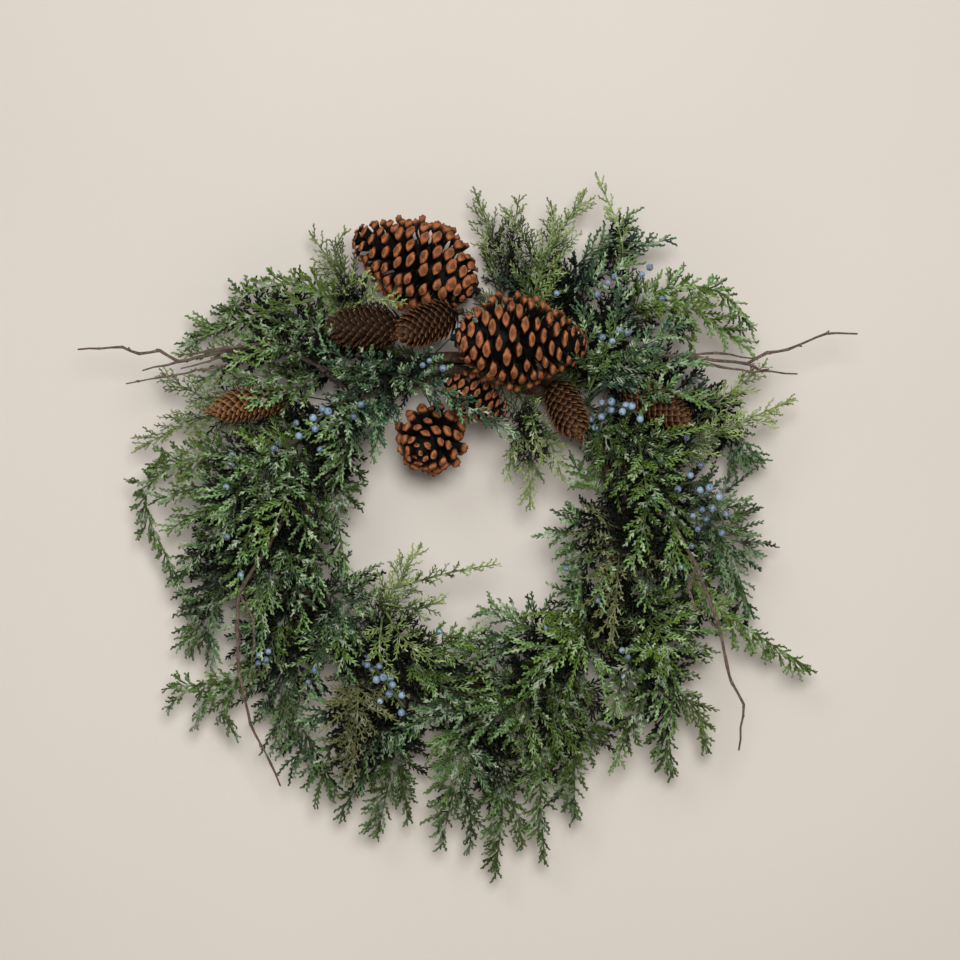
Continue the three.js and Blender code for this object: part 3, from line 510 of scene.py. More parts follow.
def pine_places(radius, length, spacing):
    """Where an open cone's scales end, evenly spaced from the middle of its base to its apex: the
    place along the axis, the distance from it, how far the scale leans to the apex, and its size."""
    # Three runs of fine steps: out over the base, up the sides, and in over the apex.
    base = np.linspace(0.12, 1, 60)[:-1]
    side = np.linspace(0, 0.97, 400)
    apex = base[::-1]
    along = [0.07 - 0.06 * (1 - base ** 2), 0.07 + 0.92 * side, 0.963 + 0.03 * (1 - apex)]
    along = np.concatenate(along) * length
    away = np.concatenate([0.45 * base, pine_radius(side), 0.24 * apex]) * radius
    lean = np.concatenate([-80 + 64 * base, -16 + 76 * side, 88 - 30 * apex])
    broad = 0.78 + 0.24 * np.sqrt(np.minimum(1, side / 0.2)) - 0.24 * side
    size = np.concatenate([0.5 + 0.28 * base, broad, 0.5 + 0.04 * apex]) * spacing
    # How many scales of that size the cone's skin holds up to each step.
    step = np.hypot(np.gradient(along), np.gradient(away))
    grown = np.cumsum(2 * math.pi * away * step / size ** 2)
    count = int(grown[-1])
    place = (np.arange(count) + 0.5) / count * grown[-1]
    return [np.interp(place, grown, row) for row in (along, away, lean, size)]


def spruce_radius(t):
    """A closed cone's radius along its axis, as a share: nearly even, rounded at both ends."""
    return np.maximum(0, 1 - np.abs(2 * t - 0.95) ** 3.2) ** 0.6 * 0.98


def spiral(profile, radius, length, spacing):
    """Places along a cone's axis and round it, evenly spaced over its surface."""
    fine = np.linspace(0.01, 0.99, 500)
    grown = np.cumsum(np.maximum(profile(fine), 0.12))
    count = int(2 * math.pi * radius * length * 0.98 * np.mean(profile(fine)) / spacing ** 2)
    t = np.interp((np.arange(count) + 0.5) / count * grown[-1], grown, fine)
    return t, np.arange(count) * GOLDEN


def stalk_end(body, start, axis, radius):
    """The short end of a cone's stalk, behind its base."""
    # Its out of 0.3 is near black in both cones' finishes: the same painted shade as the scales' roots.
    tube(body, np.array([start - axis * 0.004, start + axis * 0.01]), radius, 8, 0.3, 0.2)


# One scale of an open cone at eight places from its root to its beak: how far along it each is, its
# half width, half thickness and droop as shares of the scale's size, and how far out it counts.
PINE_ALONG = np.array([0.0, 0.4, 0.66, 0.8, 0.88, 0.94, 0.985, 1.0])
PINE_WIDE = np.array([0.34, 0.66, 0.84, 0.93, 1.03, 0.96, 0.7, 0.32])
PINE_HIGH = np.array([0.2, 0.2, 0.26, 0.5, 0.94, 1.1, 0.84, 0.38])
PINE_DROOP = np.array([0.0, 0.05, 0.06, 0.02, -0.02, -0.04, -0.07, -0.10])
# Out sets the colour: near the root it is painted near black, a painted shade between the knobs, and on the
# swell it is painted palest, a painted highlight.
PINE_OUT = np.array([0.0, 0.16, 0.36, 0.6, 0.78, 0.92, 0.97, 1.0])
PINE_CORE = 0.42  # the core's share of the cone's radius
PINE_ROUGH = 0.00034  # how far its points stray, in metres


def pine_cone(name, base, apex, radius, spacing, slim, lip):
    """An open pine cone: each scale a thin shaft that ends in a thick knob with a small beak."""
    rng = np.random.default_rng(int(radius * 10 + base[0]))
    body = Gathered()
    start, axis, length, u, v = axis_frame(base, apex)
    radius = radius * MM
    place, away, lean, size = pine_places(radius, length, spacing * MM)
    count = len(place)
    angle = np.arange(count) * GOLDEN + rng.uniform(-0.09, 0.09, count)
    outward = np.cos(angle)[:, None] * u + np.sin(angle)[:, None] * v
    across = np.cross(axis, outward)
    rise = np.radians(lean + rng.uniform(-13, 13, count))[:, None]
    shaft = np.cos(rise) * outward + np.sin(rise) * axis
    thick = np.cos(rise) * axis - np.sin(rise) * outward
    away = (away * rng.uniform(0.86, 1.05, count))[:, None]
    knob = start + axis * place[:, None] + outward * away
    long = np.minimum((away - 0.1 * radius) / np.maximum(np.cos(rise), 0.35), radius * 0.9)
    long = np.maximum(long, 0.12 * radius)
    root = knob - shaft * long
    size = (size * rng.uniform(0.84, 1.1, count))[:, None]
    centres = root[:, None] + shaft[:, None] * (long * PINE_ALONG)[..., None]
    centres = centres + thick[:, None] * (size * PINE_DROOP)[..., None]
    every = (count, len(PINE_ALONG), 3)
    loft(body, centres, np.broadcast_to(across[:, None], every), np.broadcast_to(thick[:, None], every),
         0.53 * slim * size * PINE_WIDE, lip * size * PINE_HIGH, 10, PINE_OUT, rng.uniform(0, 1, count),
         apex=knob + shaft * size * 0.12 - thick * size * 0.12, sharp=0.12, rough=(rng, PINE_ROUGH))
    # The core, out 0, is painted near black: painted shade seen between the scales.
    spine = start + axis * (np.linspace(0.0, 0.9, 12) * length)[:, None]
    tube(body, spine, radius * PINE_CORE * pine_radius(np.linspace(0, 0.95, 12)), 12, 0.0, 0.3)
    stalk_end(body, start, axis, 0.0032)
    return piece(name + "_scales", body, "pine_cone_scale", name)


# One scale of a closed cone, a net of six rows by five columns: how far along it each row is, its
# half width as a share, how far it stands off the cone in metres, and how far out it counts.
SPRUCE_ROWS = np.array([-0.55, -0.1, 0.35, 0.7, 0.93, 0.9])
SPRUCE_WIDE = np.array([0.72, 0.98, 1.0, 0.8, 0.42, 0.38])
SPRUCE_LIFT = np.array([-0.0052, -0.0042, -0.0022, 0.0, 0.0014, 0.0006])
# Out sets the colour: the rows under the next scale are painted near black, a painted shade.
SPRUCE_OUT = np.array([0.0, 0.03, 0.14, 0.42, 1.0, 0.5])
SPRUCE_RIM = np.array([0, 0.2, 0.8, 0.6, 0, 0])  # how much lighter each row's two edges are
SPRUCE_COLUMNS = np.linspace(-1, 1, 5)
SPRUCE_SPACING = 0.0057
SPRUCE_LONG = 0.0071
SPRUCE_HALF_WIDE = 0.0043


def net_faces(rows, columns):
    """Two triangles for each cell of a net of points."""
    faces = []
    for row in range(rows - 1):
        for column in range(columns - 1):
            a = row * columns + column
            b = a + columns
            faces += [[a, a + 1, b + 1], [a, b + 1, b]]
    return np.array(faces)


def spruce_cone(name, base, apex, radius, orange):
    """A closed spruce cone: thin rounded scales that lap over each other along its length."""
    rng = np.random.default_rng(int(radius * 10 + base[0] + 500))
    body = Gathered()
    start, axis, length, u, v = axis_frame(base, apex)
    radius = radius * MM
    t, angle = spiral(spruce_radius, radius, length, SPRUCE_SPACING)
    count = len(t)
    rows, columns = len(SPRUCE_ROWS), len(SPRUCE_COLUMNS)
    angle = angle + rng.uniform(-0.06, 0.06, count)
    long = SPRUCE_LONG * rng.uniform(0.92, 1.08, count)
    half_wide = SPRUCE_HALF_WIDE * (0.7 + 0.3 * spruce_radius(t)) * rng.uniform(0.94, 1.06, count)
    place = (t * length)[:, None] + long[:, None] * SPRUCE_ROWS
    ring = np.maximum(radius * spruce_radius(np.clip(place / length, 0.0, 0.985)), 0.0016) + SPRUCE_LIFT
    ring = np.maximum(ring + rng.uniform(0, 0.0009, count)[:, None] * np.clip(SPRUCE_ROWS, 0, 1), 0.0012)
    bow = 1 - 0.1 * SPRUCE_COLUMNS ** 2
    turn = angle[:, None, None] + (half_wide[:, None] * SPRUCE_WIDE / ring)[..., None] * SPRUCE_COLUMNS
    trim = 0.16 * np.abs(SPRUCE_COLUMNS) ** 2 * (SPRUCE_ROWS > 0)[:, None]
    sweep = place[..., None] - long[:, None, None] * trim
    outward = np.cos(turn)[..., None] * u + np.sin(turn)[..., None] * v
    points = start + axis * sweep[..., None] + outward * (ring[..., None] * bow)[..., None]
    faces = net_faces(rows, columns)[None] + (np.arange(count) * rows * columns)[:, None, None]
    out = np.broadcast_to(SPRUCE_OUT[None, :, None], (count, rows, columns))
    edge = out + 0.34 * np.abs(SPRUCE_COLUMNS) ** 3 * SPRUCE_RIM[:, None]
    body.add(points, faces, np.clip(edge, 0, 1), np.repeat(rng.uniform(0, 1, count), rows * columns))
    # The core, out 0, is painted near black: painted shade seen between the scales.
    spine = np.linspace(0.0, 0.97, 14)
    tube(body, start + axis * (spine * length)[:, None],
         np.maximum(radius * spruce_radius(spine) - 0.0048, 0.001), 12, 0.0, 0.3)
    stalk_end(body, start, axis, 0.0028)
    return piece(name + "_scales", body, "spruce_cone_scale", name, age=orange)


# Name, base, apex and radius of each cone, as in the solids. An open cone then has the spacing of
# its scales in millimetres, how broad its knobs are and how thick; a closed one how orange it is.
PINE_CONES = [
    ("pine_cone_top_left", (14, 216, 30), (-97, 268, 30), 44, 15.5, 0.94, 0.27),
    ("pine_cone_centre", (-4, 170, 84), (114, 164, 90), 44, 16.5, 1.0, 0.205),
    ("pine_cone_low", (-18, 92, 6), (-38, 68, 64), 34, 15.0, 0.76, 0.235),
    ("pine_cone_tucked", (-12, 133, 38), (42, 102, 44), 23, 11.5, 1.0, 0.25),
]
SPRUCE_CONES = [
    ("spruce_cone_far_left", (-50, 182, 52), (-121, 181, 46), 19.5, 0.1),
    ("spruce_cone_beside_centre", (-2, 194, 58), (-57, 172, 78), 18.5, 0.25),
    ("spruce_cone_inner_right", (83, 134, 46), (107, 82, 58), 17, 0.4),
    ("spruce_cone_right", (144, 135, 46), (207, 94, 50), 16, 0.45),
    ("spruce_cone_left", (-153, 121, 50), (-223, 106, 56), 15, 0.9),
    ("spruce_cone_top_right", (112, 188, -6), (88, 236, -4), 12, 0.4),
]


# ---- vine and twigs ----

VINE_TURNS = 3.97
VINE_START = 24  # degrees from the top
VINE_SEAT = 40  # degrees round the bundle, at the top
VINE_PLACES = 420  # along the strand
VINE_SIDES = 14


def vine():
    """The ring of twisted vine: one strand wound four times, ridged like peeling bark."""
    rng = np.random.default_rng(11)
    body = Gathered()
    steps = np.linspace(0, 1, VINE_PLACES)
    clock = VINE_START + steps * VINE_TURNS * 360
    path = np.array([round_ring(c, VINE_SEAT + c * TWISTS_PER_TURN, TWIST_RADIUS) for c in clock])
    along = headings(path)
    away = unit(path - np.array([0, 0, -HANG * MM]))
    across = unit(np.cross(along, away))
    rise = unit(np.cross(across, along))
    angle = 2 * np.pi * np.arange(VINE_SIDES) / VINE_SIDES
    ridge = 0.10 * np.sin(5 * angle[None] + 108 * steps[:, None])
    ridge = ridge + 0.06 * np.sin(3 * angle[None] - 90 * steps[:, None])
    knots = 0.05 * np.sin(steps * 210) * np.sin(steps * 47)
    stray = rng.uniform(-0.03, 0.03, (VINE_PLACES, VINE_SIDES))
    size = STRAND_RADIUS * MM * (0.93 + 0.5 * ridge + knots[:, None] + stray)
    ring = path[:, None] + across[:, None] * (size * np.cos(angle))[..., None]
    ring = ring + rise[:, None] * (size * np.sin(angle))[..., None]
    k = np.arange(VINE_SIDES)
    n = (k + 1) % VINE_SIDES
    low = np.arange(VINE_PLACES - 1)[:, None] * VINE_SIDES
    up = low + VINE_SIDES
    walls = [np.stack([low + k, low + n, up + n], -1), np.stack([low + k, up + n, up + k], -1)]
    ends = [[0, j + 1, j] for j in range(1, VINE_SIDES - 1)]
    last = (VINE_PLACES - 1) * VINE_SIDES
    ends += [[last, last + j, last + j + 1] for j in range(1, VINE_SIDES - 1)]
    out = np.clip(0.5 + 3 * ridge, 0, 1)
    faces = np.concatenate([np.concatenate(walls).reshape(-1, 3), np.array(ends)])
    body.add(ring, faces, out, 0.5)
    return piece("vine_strand", body, "vine_bark", "vine")


# In millimetres: a twig's radius at its foot and its tip, and a side shoot's.
TWIG_RADII = (2.4, 0.85)
SHOOT_RADII = (1.3, 0.65)

# In metres: how far apart a twig's places are and how far they stray, how far a joint's swelling
# reaches, and a bud's length and thickness.
TWIG_STEP = 0.009
TWIG_STRAY = 0.0007
JOINT_REACH = 0.004
BUD_LONG = 0.0034
BUD_THICK = 0.0014
LEAD = 3  # the points that a stem has under its tie, before those of its way


def crooked(path, rng, step, stray):
    """The path with more places on each run, strayed a little, as twigs grow."""
    rows = []
    for a, b in zip(path[:-1], path[1:]):
        count = max(2, int(np.linalg.norm(b - a) / step))
        for i in range(count):
            rows.append(a + (b - a) * i / count + (rng.uniform(-stray, stray, 3) if i else 0))
    return np.array(rows + [path[-1]])


def twig_run(body, rng, points, thick, thin):
    """One crooked run of a twig, swollen at its joints, with a small bud at every third place."""
    path = crooked(points, rng, TWIG_STEP, TWIG_STRAY)
    share = np.linspace(0, 1, len(path))
    radii = (thick + (thin - thick) * share) * MM
    near = share + 1
    if len(points) > 2:
        near = np.min(np.linalg.norm(path[:, None] - points[None, 1:-1], axis=2), axis=1)
    radii = radii * (1 + 0.3 * np.exp(-(near / JOINT_REACH) ** 2)) * rng.uniform(0.93, 1.07, len(path))
    tube(body, path, radii, 7, 0.4 + 0.5 * share, 0.5)
    along = headings(path)
    for i in range(6, len(path) - 1, 3):
        spread = unit(np.cross(along[i], rng.normal(size=3)))
        bud = unit(along[i] * 1.1 + spread)
        tube(body, np.array([path[i], path[i] + bud * BUD_LONG]), [BUD_THICK, BUD_THICK / 2], 5, 0.9, 0.8)


def twig(name, tie, way, shoots):
    """A bare twig along its solid's points, with side shoots that leave it at its joints."""
    rng = np.random.default_rng(len(name) * 7 + len(way))
    body = Gathered()
    points = stem_path(tie, way, smooth=False)
    twig_run(body, rng, points, *TWIG_RADII)
    for joint, shoot in shoots:
        twig_run(body, rng, np.array([points[joint + LEAD]] + [at(*p) for p in shoot]), *SHOOT_RADII)
    return piece(name + "_bark", body, "twig_bark", name)


# Name, tie (clock, seat, turn along the ring) and way of each twig, as in the solids, then its side
# shoots: the joint of the way that each leaves, and the points that it runs to.
TWIGS = [
    ("twig_left", (315, 54, 1), [
        (-130, 150, 34), (-171, 168, 48), (-252, 151, 46), (-269, 161, 46), (-287, 158, 46),
        (-302, 164, 46), (-342, 162, 44),
    ], [
        (1, [(-190, 152, 52), (-263, 137, 52), (-298, 131, 50)]),
        (2, [(-284, 143, 46)]),
        (1, [(-206, 157, 43), (-250, 145, 43)]),
        (1, [(-206, 163, 57), (-244, 157, 55)]),
    ]),
    ("twig_right", (45, 59, 1), [
        (148, 158, 40), (199, 156, 46), (257, 149, 46), (275, 159, 46), (294, 162, 46),
        (328, 176, 46), (356, 176, 44),
    ], [
        (2, [(268, 143, 47), (302, 140, 46)]),
        (1, [(232, 146, 53), (262, 141, 51), (276, 144, 49)]),
        (1, [(230, 159, 41), (264, 154, 40)]),
    ]),
    ("twig_low_left", (285, 75, -1), [
        (-172, -18, 72), (-194, -54, 78), (-196, -86, 80), (-194, -128, 76), (-186, -171, 62),
        (-169, -208, 50), (-161, -229, 44),
    ], [
        (1, [(-181, -78, 84), (-180, -100, 84), (-183, -115, 82)]),
    ]),
    ("twig_low_right", (75, 76, 1), [
        (186, 12, 68), (209, -31, 78), (226, -76, 82), (236, -119, 76), (240, -133, 72),
        (252, -154, 64), (249, -196, 52),
    ], [
        (1, [(201, -51, 84), (206, -66, 84), (225, -84, 84)]),
    ]),
]


# ---- reading a spray's solid ----

# A finger of a solid ends in a point where four triangles meet. The point is at least this long, in
# metres, and its foot is not much broader than it is long. A foot nearly as thick as broad, or one
# that lies across the finger's way, says nothing of how the finger faces, so it faces forward.
POINT_SIDES = 4
POINT_LONG = 0.008
POINT_SLIM = 0.9
THICK_FOOT = 0.8
CROSSED_FOOT = 0.3


def solid_of(name):
    """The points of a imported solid's mesh, each one once, and its triangles."""
    mesh = NODES[name].data
    mesh.calc_loop_triangles()
    tris = np.empty(len(mesh.loop_triangles) * 3, np.int32)
    mesh.loop_triangles.foreach_get("vertices", tris)
    points, place = np.unique(np.round(points_of(mesh), 5), axis=0, return_inverse=True)
    return points, place.ravel()[tris].reshape(-1, 3)


def fingers_of(points, tris):
    """The solid's pointed ends, each as foot, tip and facing."""
    around = [[] for _ in points]
    for k, tri in enumerate(tris):
        for corner in tri:
            around[corner].append(k)
    feet, tips, facing = [], [], []
    for k, near in enumerate(around):
        if len(near) != POINT_SIDES:
            continue
        ring = [corner for corner in np.unique(tris[near]) if corner != k]
        if len(ring) != POINT_SIDES:
            continue
        foot = points[ring].mean(0)
        spread = points[ring] - foot
        length = np.linalg.norm(points[k] - foot)
        if length < POINT_LONG or length < POINT_SLIM * np.linalg.norm(spread, axis=1).max():
            continue
        along = (points[k] - foot) / length
        _, sizes, axes = np.linalg.svd(spread)
        normal = np.cross(along, axes[0])
        if sizes[1] > THICK_FOOT * sizes[0] or np.linalg.norm(normal) < CROSSED_FOOT:
            normal = np.array([0, -1.0, 0]) + along * along[1]
        normal = normal / np.linalg.norm(normal)
        feet.append(foot)
        tips.append(points[k])
        facing.append(normal if normal[1] < 0 else -normal)
    return np.array(feet), np.array(tips), np.array(facing)


# ---- branchlets ----

# Millimetres: spacing of the leafy side shoots, their reach and thickness. Then their forward angle
# in degrees, the share that fork and where on a shoot and to which hand, the extra layers laid over
# each finger, how flat a shoot is, whether shoots grow in pairs, and how far they lean off the plane.
CEDAR = dict(spacing=2.6, reach=8.6, thick=1.06, open=38, fork=0.45, forks_at=((0.45, 1),), layers=2,
             flat=0.85, paired=False, lean=0.36)
NEEDLE = dict(spacing=2.9, reach=9.8, thick=0.72, open=42, fork=0.2, forks_at=((0.45, 1),), layers=1,
              flat=1.0, paired=False, lean=0.5)
FAN = dict(spacing=3.3, reach=8.6, thick=0.95, open=46, fork=1.0, forks_at=((0.3, 1), (0.62, -1)), layers=0,
           flat=0.5, paired=True, lean=0.08)
KINDS = {
    "cedar": (CEDAR, "dark_cedar"),
    "needle": (NEEDLE, "light_juniper"),
    "fan": (FAN, "olive_arborvitae"),
}

# In metres: one scale leaf, the finger that is long enough for shoots of full reach, and the shoot
# that is long enough to fork for certain, where its kind forks at all.
LEAF_LONG = 0.0012
FULL_FINGER = 0.024
FULL_SHOOT = 0.006

# A branchlet has at least and at most so many shoots.
FEWEST = 3
MOST = 18

# A branchlet is lighter by this much for each share that it is slimmer than most.
SLIM_LIGHTER = 1.2
MOST_SLIM = 0.78

# How far a branchlet bows to the sides, and back or forward, as shares of its length.
BOW_SIDE = (-0.07, 0.07)
BOW_FACE = (-0.05, 0.10)


def plumes(body, feet, tips, normal, tint, look, rng, slim):
    """Feathery branchlets from feet to tips: an axis with short leafy shoots off both sides. Slim
    is the share of its full breadth that each one has."""
    length = np.linalg.norm(tips - feet, axis=1)
    tint = np.clip(tint + SLIM_LIGHTER * (MOST_SLIM - slim), 0, 1)
    steps = np.clip(np.round(length / (look["spacing"] * MM)), FEWEST, MOST).astype(int)
    for shoots in np.unique(steps):
        pick = steps == shoots
        plume_group(body, feet[pick], tips[pick], normal[pick], tint[pick], int(shoots), look, rng,
                    slim[pick])


def plume_group(body, feet, tips, normal, tint, shoots, look, rng, slim):
    """Branchlets that have the same number of shoots: the bowed axis of each, then its shoots."""
    count = len(feet)
    span = tips - feet
    length = np.linalg.norm(span, axis=1)[:, None]
    side = unit(np.cross(span / length, normal))
    bow = rng.uniform(*BOW_SIDE, (count, 1)) * length * side
    bow = bow + rng.uniform(*BOW_FACE, (count, 1)) * length * normal

    def spot(t):
        return feet[:, None] + t[..., None] * span[:, None] + (4 * t * (1 - t))[..., None] * bow[:, None]

    def heading(t):
        return unit(span[:, None] + (4 * (1 - 2 * t))[..., None] * bow[:, None])

    rows = np.broadcast_to(np.linspace(0, 0.95, 4), (count, 4))
    across = unit(np.cross(heading(rows), normal[:, None]))
    girth = look["thick"] * MM * (1.05 - 0.3 * rows)
    loft(body, spot(rows), across, unit(np.cross(across, heading(rows))), girth, girth * look["flat"], 3,
         rows * 0.6, tint, apex=tips)

    t = (np.arange(shoots) + 0.5) / (shoots + 0.2)
    t = np.clip(t + rng.uniform(-0.25, 0.25, (count, shoots)) / shoots, 0.02, 0.98)
    flip = np.where(rng.uniform(0, 1, (count, 1)) < 0.5, 1, -1)
    hand = np.where(np.arange(shoots) % 2 == 0, 1, -1) * flip
    if look["paired"]:
        t = np.repeat(t[:, ::2], 2, axis=1)[:, :shoots]
    taper = np.power(np.maximum(1 - t, 0.02), 0.4) * np.minimum(1, 0.72 + t)
    most = look["reach"] * MM * slim[:, None] * np.minimum(1, length / FULL_FINGER)
    reach = most * taper * rng.uniform(0.72, 1.15, t.shape) + LEAF_LONG
    leafy_shoots(body, spot(t), heading(t), normal, t, hand, reach, tint, look, rng)


def leafy_shoots(body, start, axis, normal, t, hand, reach, tint, look, rng):
    """Short shoots off a branchlet's axis, each bent a little forward, with its forked leaves."""
    angle = np.radians(look["open"] - 14 * t + rng.uniform(-8, 8, t.shape))
    lean = rng.uniform(-0.7, 1.0, t.shape) * look["lean"]
    aside = unit(np.cross(axis, normal[:, None]))
    way = np.cos(angle)[..., None] * axis + (np.sin(angle) * hand)[..., None] * aside
    way = unit(way + lean[..., None] * normal[:, None])
    middle = start + way * (reach * 0.62)[..., None]
    onward = unit(way * 0.9 + axis * 0.3 + rng.normal(0, 0.06, way.shape))
    end = middle + onward * (reach * 0.38)[..., None]
    face = np.repeat(normal, t.shape[1], axis=0)
    tint = np.repeat(tint, t.shape[1])
    start, middle, end, way, onward = [rows.reshape(-1, 3) for rows in (start, middle, end, way, onward)]
    t, reach = t.ravel(), reach.ravel()
    tint = np.clip(tint + rng.uniform(-0.25, 0.25, len(t)), 0, 1)
    girth = look["thick"] * MM * rng.uniform(0.88, 1.12, len(t))
    ways = np.stack([way, onward], 1)
    across = unit(np.cross(ways, face[:, None]))
    rise = unit(np.cross(across, ways))
    wide = np.stack([girth * 0.7, girth], 1)
    out = np.stack([0.55 * t, 0.5 * t + 0.3], 1)
    loft(body, np.stack([start, middle], 1), across, rise, wide, wide * look["flat"], 3, out, tint,
         apex=end, apex_out=0.5 + 0.5 * t)
    forked_leaves(body, start, way, face, t, reach, girth, tint, look, rng)


def forked_leaves(body, start, way, face, t, reach, girth, tint, look, rng):
    """Single leaves that fork off some of the shoots."""
    hand = np.where(rng.uniform(0, 1, len(t)) < 0.5, 1, -1)
    for share, sign in look["forks_at"]:
        pick = rng.uniform(0, 1, len(t)) < look["fork"] * np.minimum(1, reach / FULL_SHOOT)
        base = (start + way * (reach * share)[:, None])[pick]
        level = unit(np.cross(way, face))[pick]
        turn = np.radians(rng.uniform(30, 46, pick.sum()))
        spur = np.cos(turn)[:, None] * way[pick] + (np.sin(turn) * hand[pick] * sign)[:, None] * level
        spur = unit(spur + rng.uniform(-0.35, 0.35, pick.sum())[:, None] * face[pick])
        size = (reach[pick] * 0.4 + LEAF_LONG) * rng.uniform(0.8, 1.15, pick.sum())
        spikes(body, base, base + spur * size[:, None], girth[pick] * 0.95, face[pick],
               (0.5 * t + 0.2)[pick], (0.45 + 0.45 * t)[pick], tint[pick], flat=look["flat"])


def keep_clear(tips):
    """Moves tips back that would pass the front of the solids or touch the wall."""
    tips[:, 1] = np.clip(tips[:, 1], CAD_BOX[0].y + FRONT_CLEAR, WALL - WALL_CLEAR)


# In degrees: how far a finger's first copy tilts, either way, and swings; how far the second tilts,
# and how much further it swings. Then the share of first copies that tilt forward.
TILT = (16, 44)
SWING = (-26, 26)
SECOND_TILT = (-14, 24)
SECOND_SWING = 12
FORWARD = 0.66


def layered(feet, tips, normal, look, rng):
    """Each finger, and shorter copies of it: first tilted out of its plane, forward more often than
    back, then swung to one side within it."""
    sets = [(feet, tips, normal)]
    for layer in range(look["layers"]):
        way = tips - feet
        side = unit(np.cross(way, normal))
        tilt = rng.uniform(*TILT, len(feet)) * np.where(rng.uniform(0, 1, len(feet)) < FORWARD, 1, -1)
        swing = rng.uniform(*SWING, len(feet))
        if layer == 1:
            tilt = rng.uniform(*SECOND_TILT, len(feet))
            swing = np.where(swing < 0, swing - SECOND_SWING, swing + SECOND_SWING)
        tilt, swing = np.radians(tilt), np.radians(swing)
        length = np.linalg.norm(way, axis=1)
        turned = unit(way) + normal * np.tan(tilt)[:, None] + side * np.tan(swing)[:, None]
        turned = unit(turned) * (length * rng.uniform(0.55, 0.88, len(feet)))[:, None]
        foot = feet + way * rng.uniform(-0.1, 0.3, len(feet))[:, None]
        tip = foot + turned
        face = unit(normal - unit(turned) * dot(normal, unit(turned)))
        sets.append((foot, tip, face))
    feet, tips, normal = [np.concatenate(parts) for parts in zip(*sets)]
    keep_clear(tips)
    return feet, tips, normal


def front_of(path):
    """Which way a spray faces at each place of its stem: forward, and away from the ring's bundle."""
    flat = path * [1, 0, 1] + [0, 0, HANG * MM]
    middle = unit(flat) * RING_RADIUS * MM - [0, 0, HANG * MM]
    return unit(np.array([0, -1.1, 0]) + 0.5 * unit(path - middle))


BARE_FOOT = 0.012  # of a stem, in metres: its shoots start so far along it
BARE_TIP = 0.003
SLANT = (24, 52)  # in degrees from the stem at its foot, and less by the next number at its tip
SLANT_LESS = 10


def cover(path, rng, first, last, step=0.0055):
    """Shoots all along a stem, which hide it: alternate sides, slanted forward, from the first
    length at its foot to the last at its tip, in millimetres."""
    run = np.concatenate([[0], np.cumsum(np.linalg.norm(np.diff(path, axis=0), axis=1))])
    places = np.arange(BARE_FOOT, run[-1] - BARE_TIP, step)
    spots = np.stack([np.interp(places, run, path[:, k]) for k in range(3)], 1)
    along = unit(np.stack([np.interp(places, run, headings(path)[:, k]) for k in range(3)], 1))
    face = front_of(spots)
    face = unit(face - along * dot(face, along))
    side = unit(np.cross(along, face))
    u = places / run[-1]
    hand = np.where(np.arange(len(places)) % 2 == 0, 1, -1)
    turn = np.radians(rng.uniform(*SLANT, len(places)) - SLANT_LESS * u) * hand
    up = rng.uniform(-0.15, 0.75, len(places))
    way = np.cos(turn)[:, None] * along + np.sin(turn)[:, None] * side + up[:, None] * face
    size = (first - (first - last) * u ** 1.6) * MM * rng.uniform(0.6, 1.1, len(places))
    tips = spots + unit(way) * size[:, None]
    keep_clear(tips)
    normal = unit(face - unit(way) * dot(face, unit(way)))
    return spots, tips, normal


THINS_FROM = 0.5  # where along its stem a spray starts to narrow
THINS_OVER = 0.4  # the share of the stem that this takes
THINS_BY = 0.5


def slender(feet, path):
    """How broad each branchlet is: towards the stem's tip they narrow, so that it ends in a whip."""
    near = np.argmin(np.linalg.norm(feet[:, None] - path[None], axis=2), axis=1)
    return 1 - THINS_BY * np.clip((near / len(path) - THINS_FROM) / THINS_OVER, 0, 1)


def thin_stalks(body, path, feet, rng, look):
    """A thin stalk from each finger's foot back to the stem it grows from."""
    gap = np.linalg.norm(feet[:, None] - path[None], axis=2)
    near = np.argmin(gap, axis=1)
    step = np.mean(np.linalg.norm(np.diff(path, axis=0), axis=1))
    back = np.clip(near - np.round(gap.min(axis=1) * 0.8 / step).astype(int), 0, len(path) - 1)
    start = path[back]
    way = feet - start
    across = unit(np.cross(way, np.array([0.1, -1.0, 0.05])))
    rise = unit(np.cross(across, way))
    girth = np.full((len(feet), 2), look["thick"] * MM * 0.9)
    every = (len(feet), 2, 3)
    loft(body, np.stack([start, feet], 1), np.broadcast_to(across[:, None], every),
         np.broadcast_to(rise[:, None], every), girth, girth, 3, 0.35, rng.uniform(0.2, 0.7, len(feet)),
         apex=feet + way * 0.02)


# In millimetres: the radius of a spray's stem at its foot and at its tip, and of a side branch's.
STEM_RADII = (1.7, 0.65)
SIDE_RADII = (1.25, 0.55)
SIDE_PLACES = 24
SIDE_STEPS = (0.006, 0.008)  # a side branch has two rows of shoots, this far apart along it
OVER_STEM = 0.9  # how broad the shoots along a stem are beside the branchlets


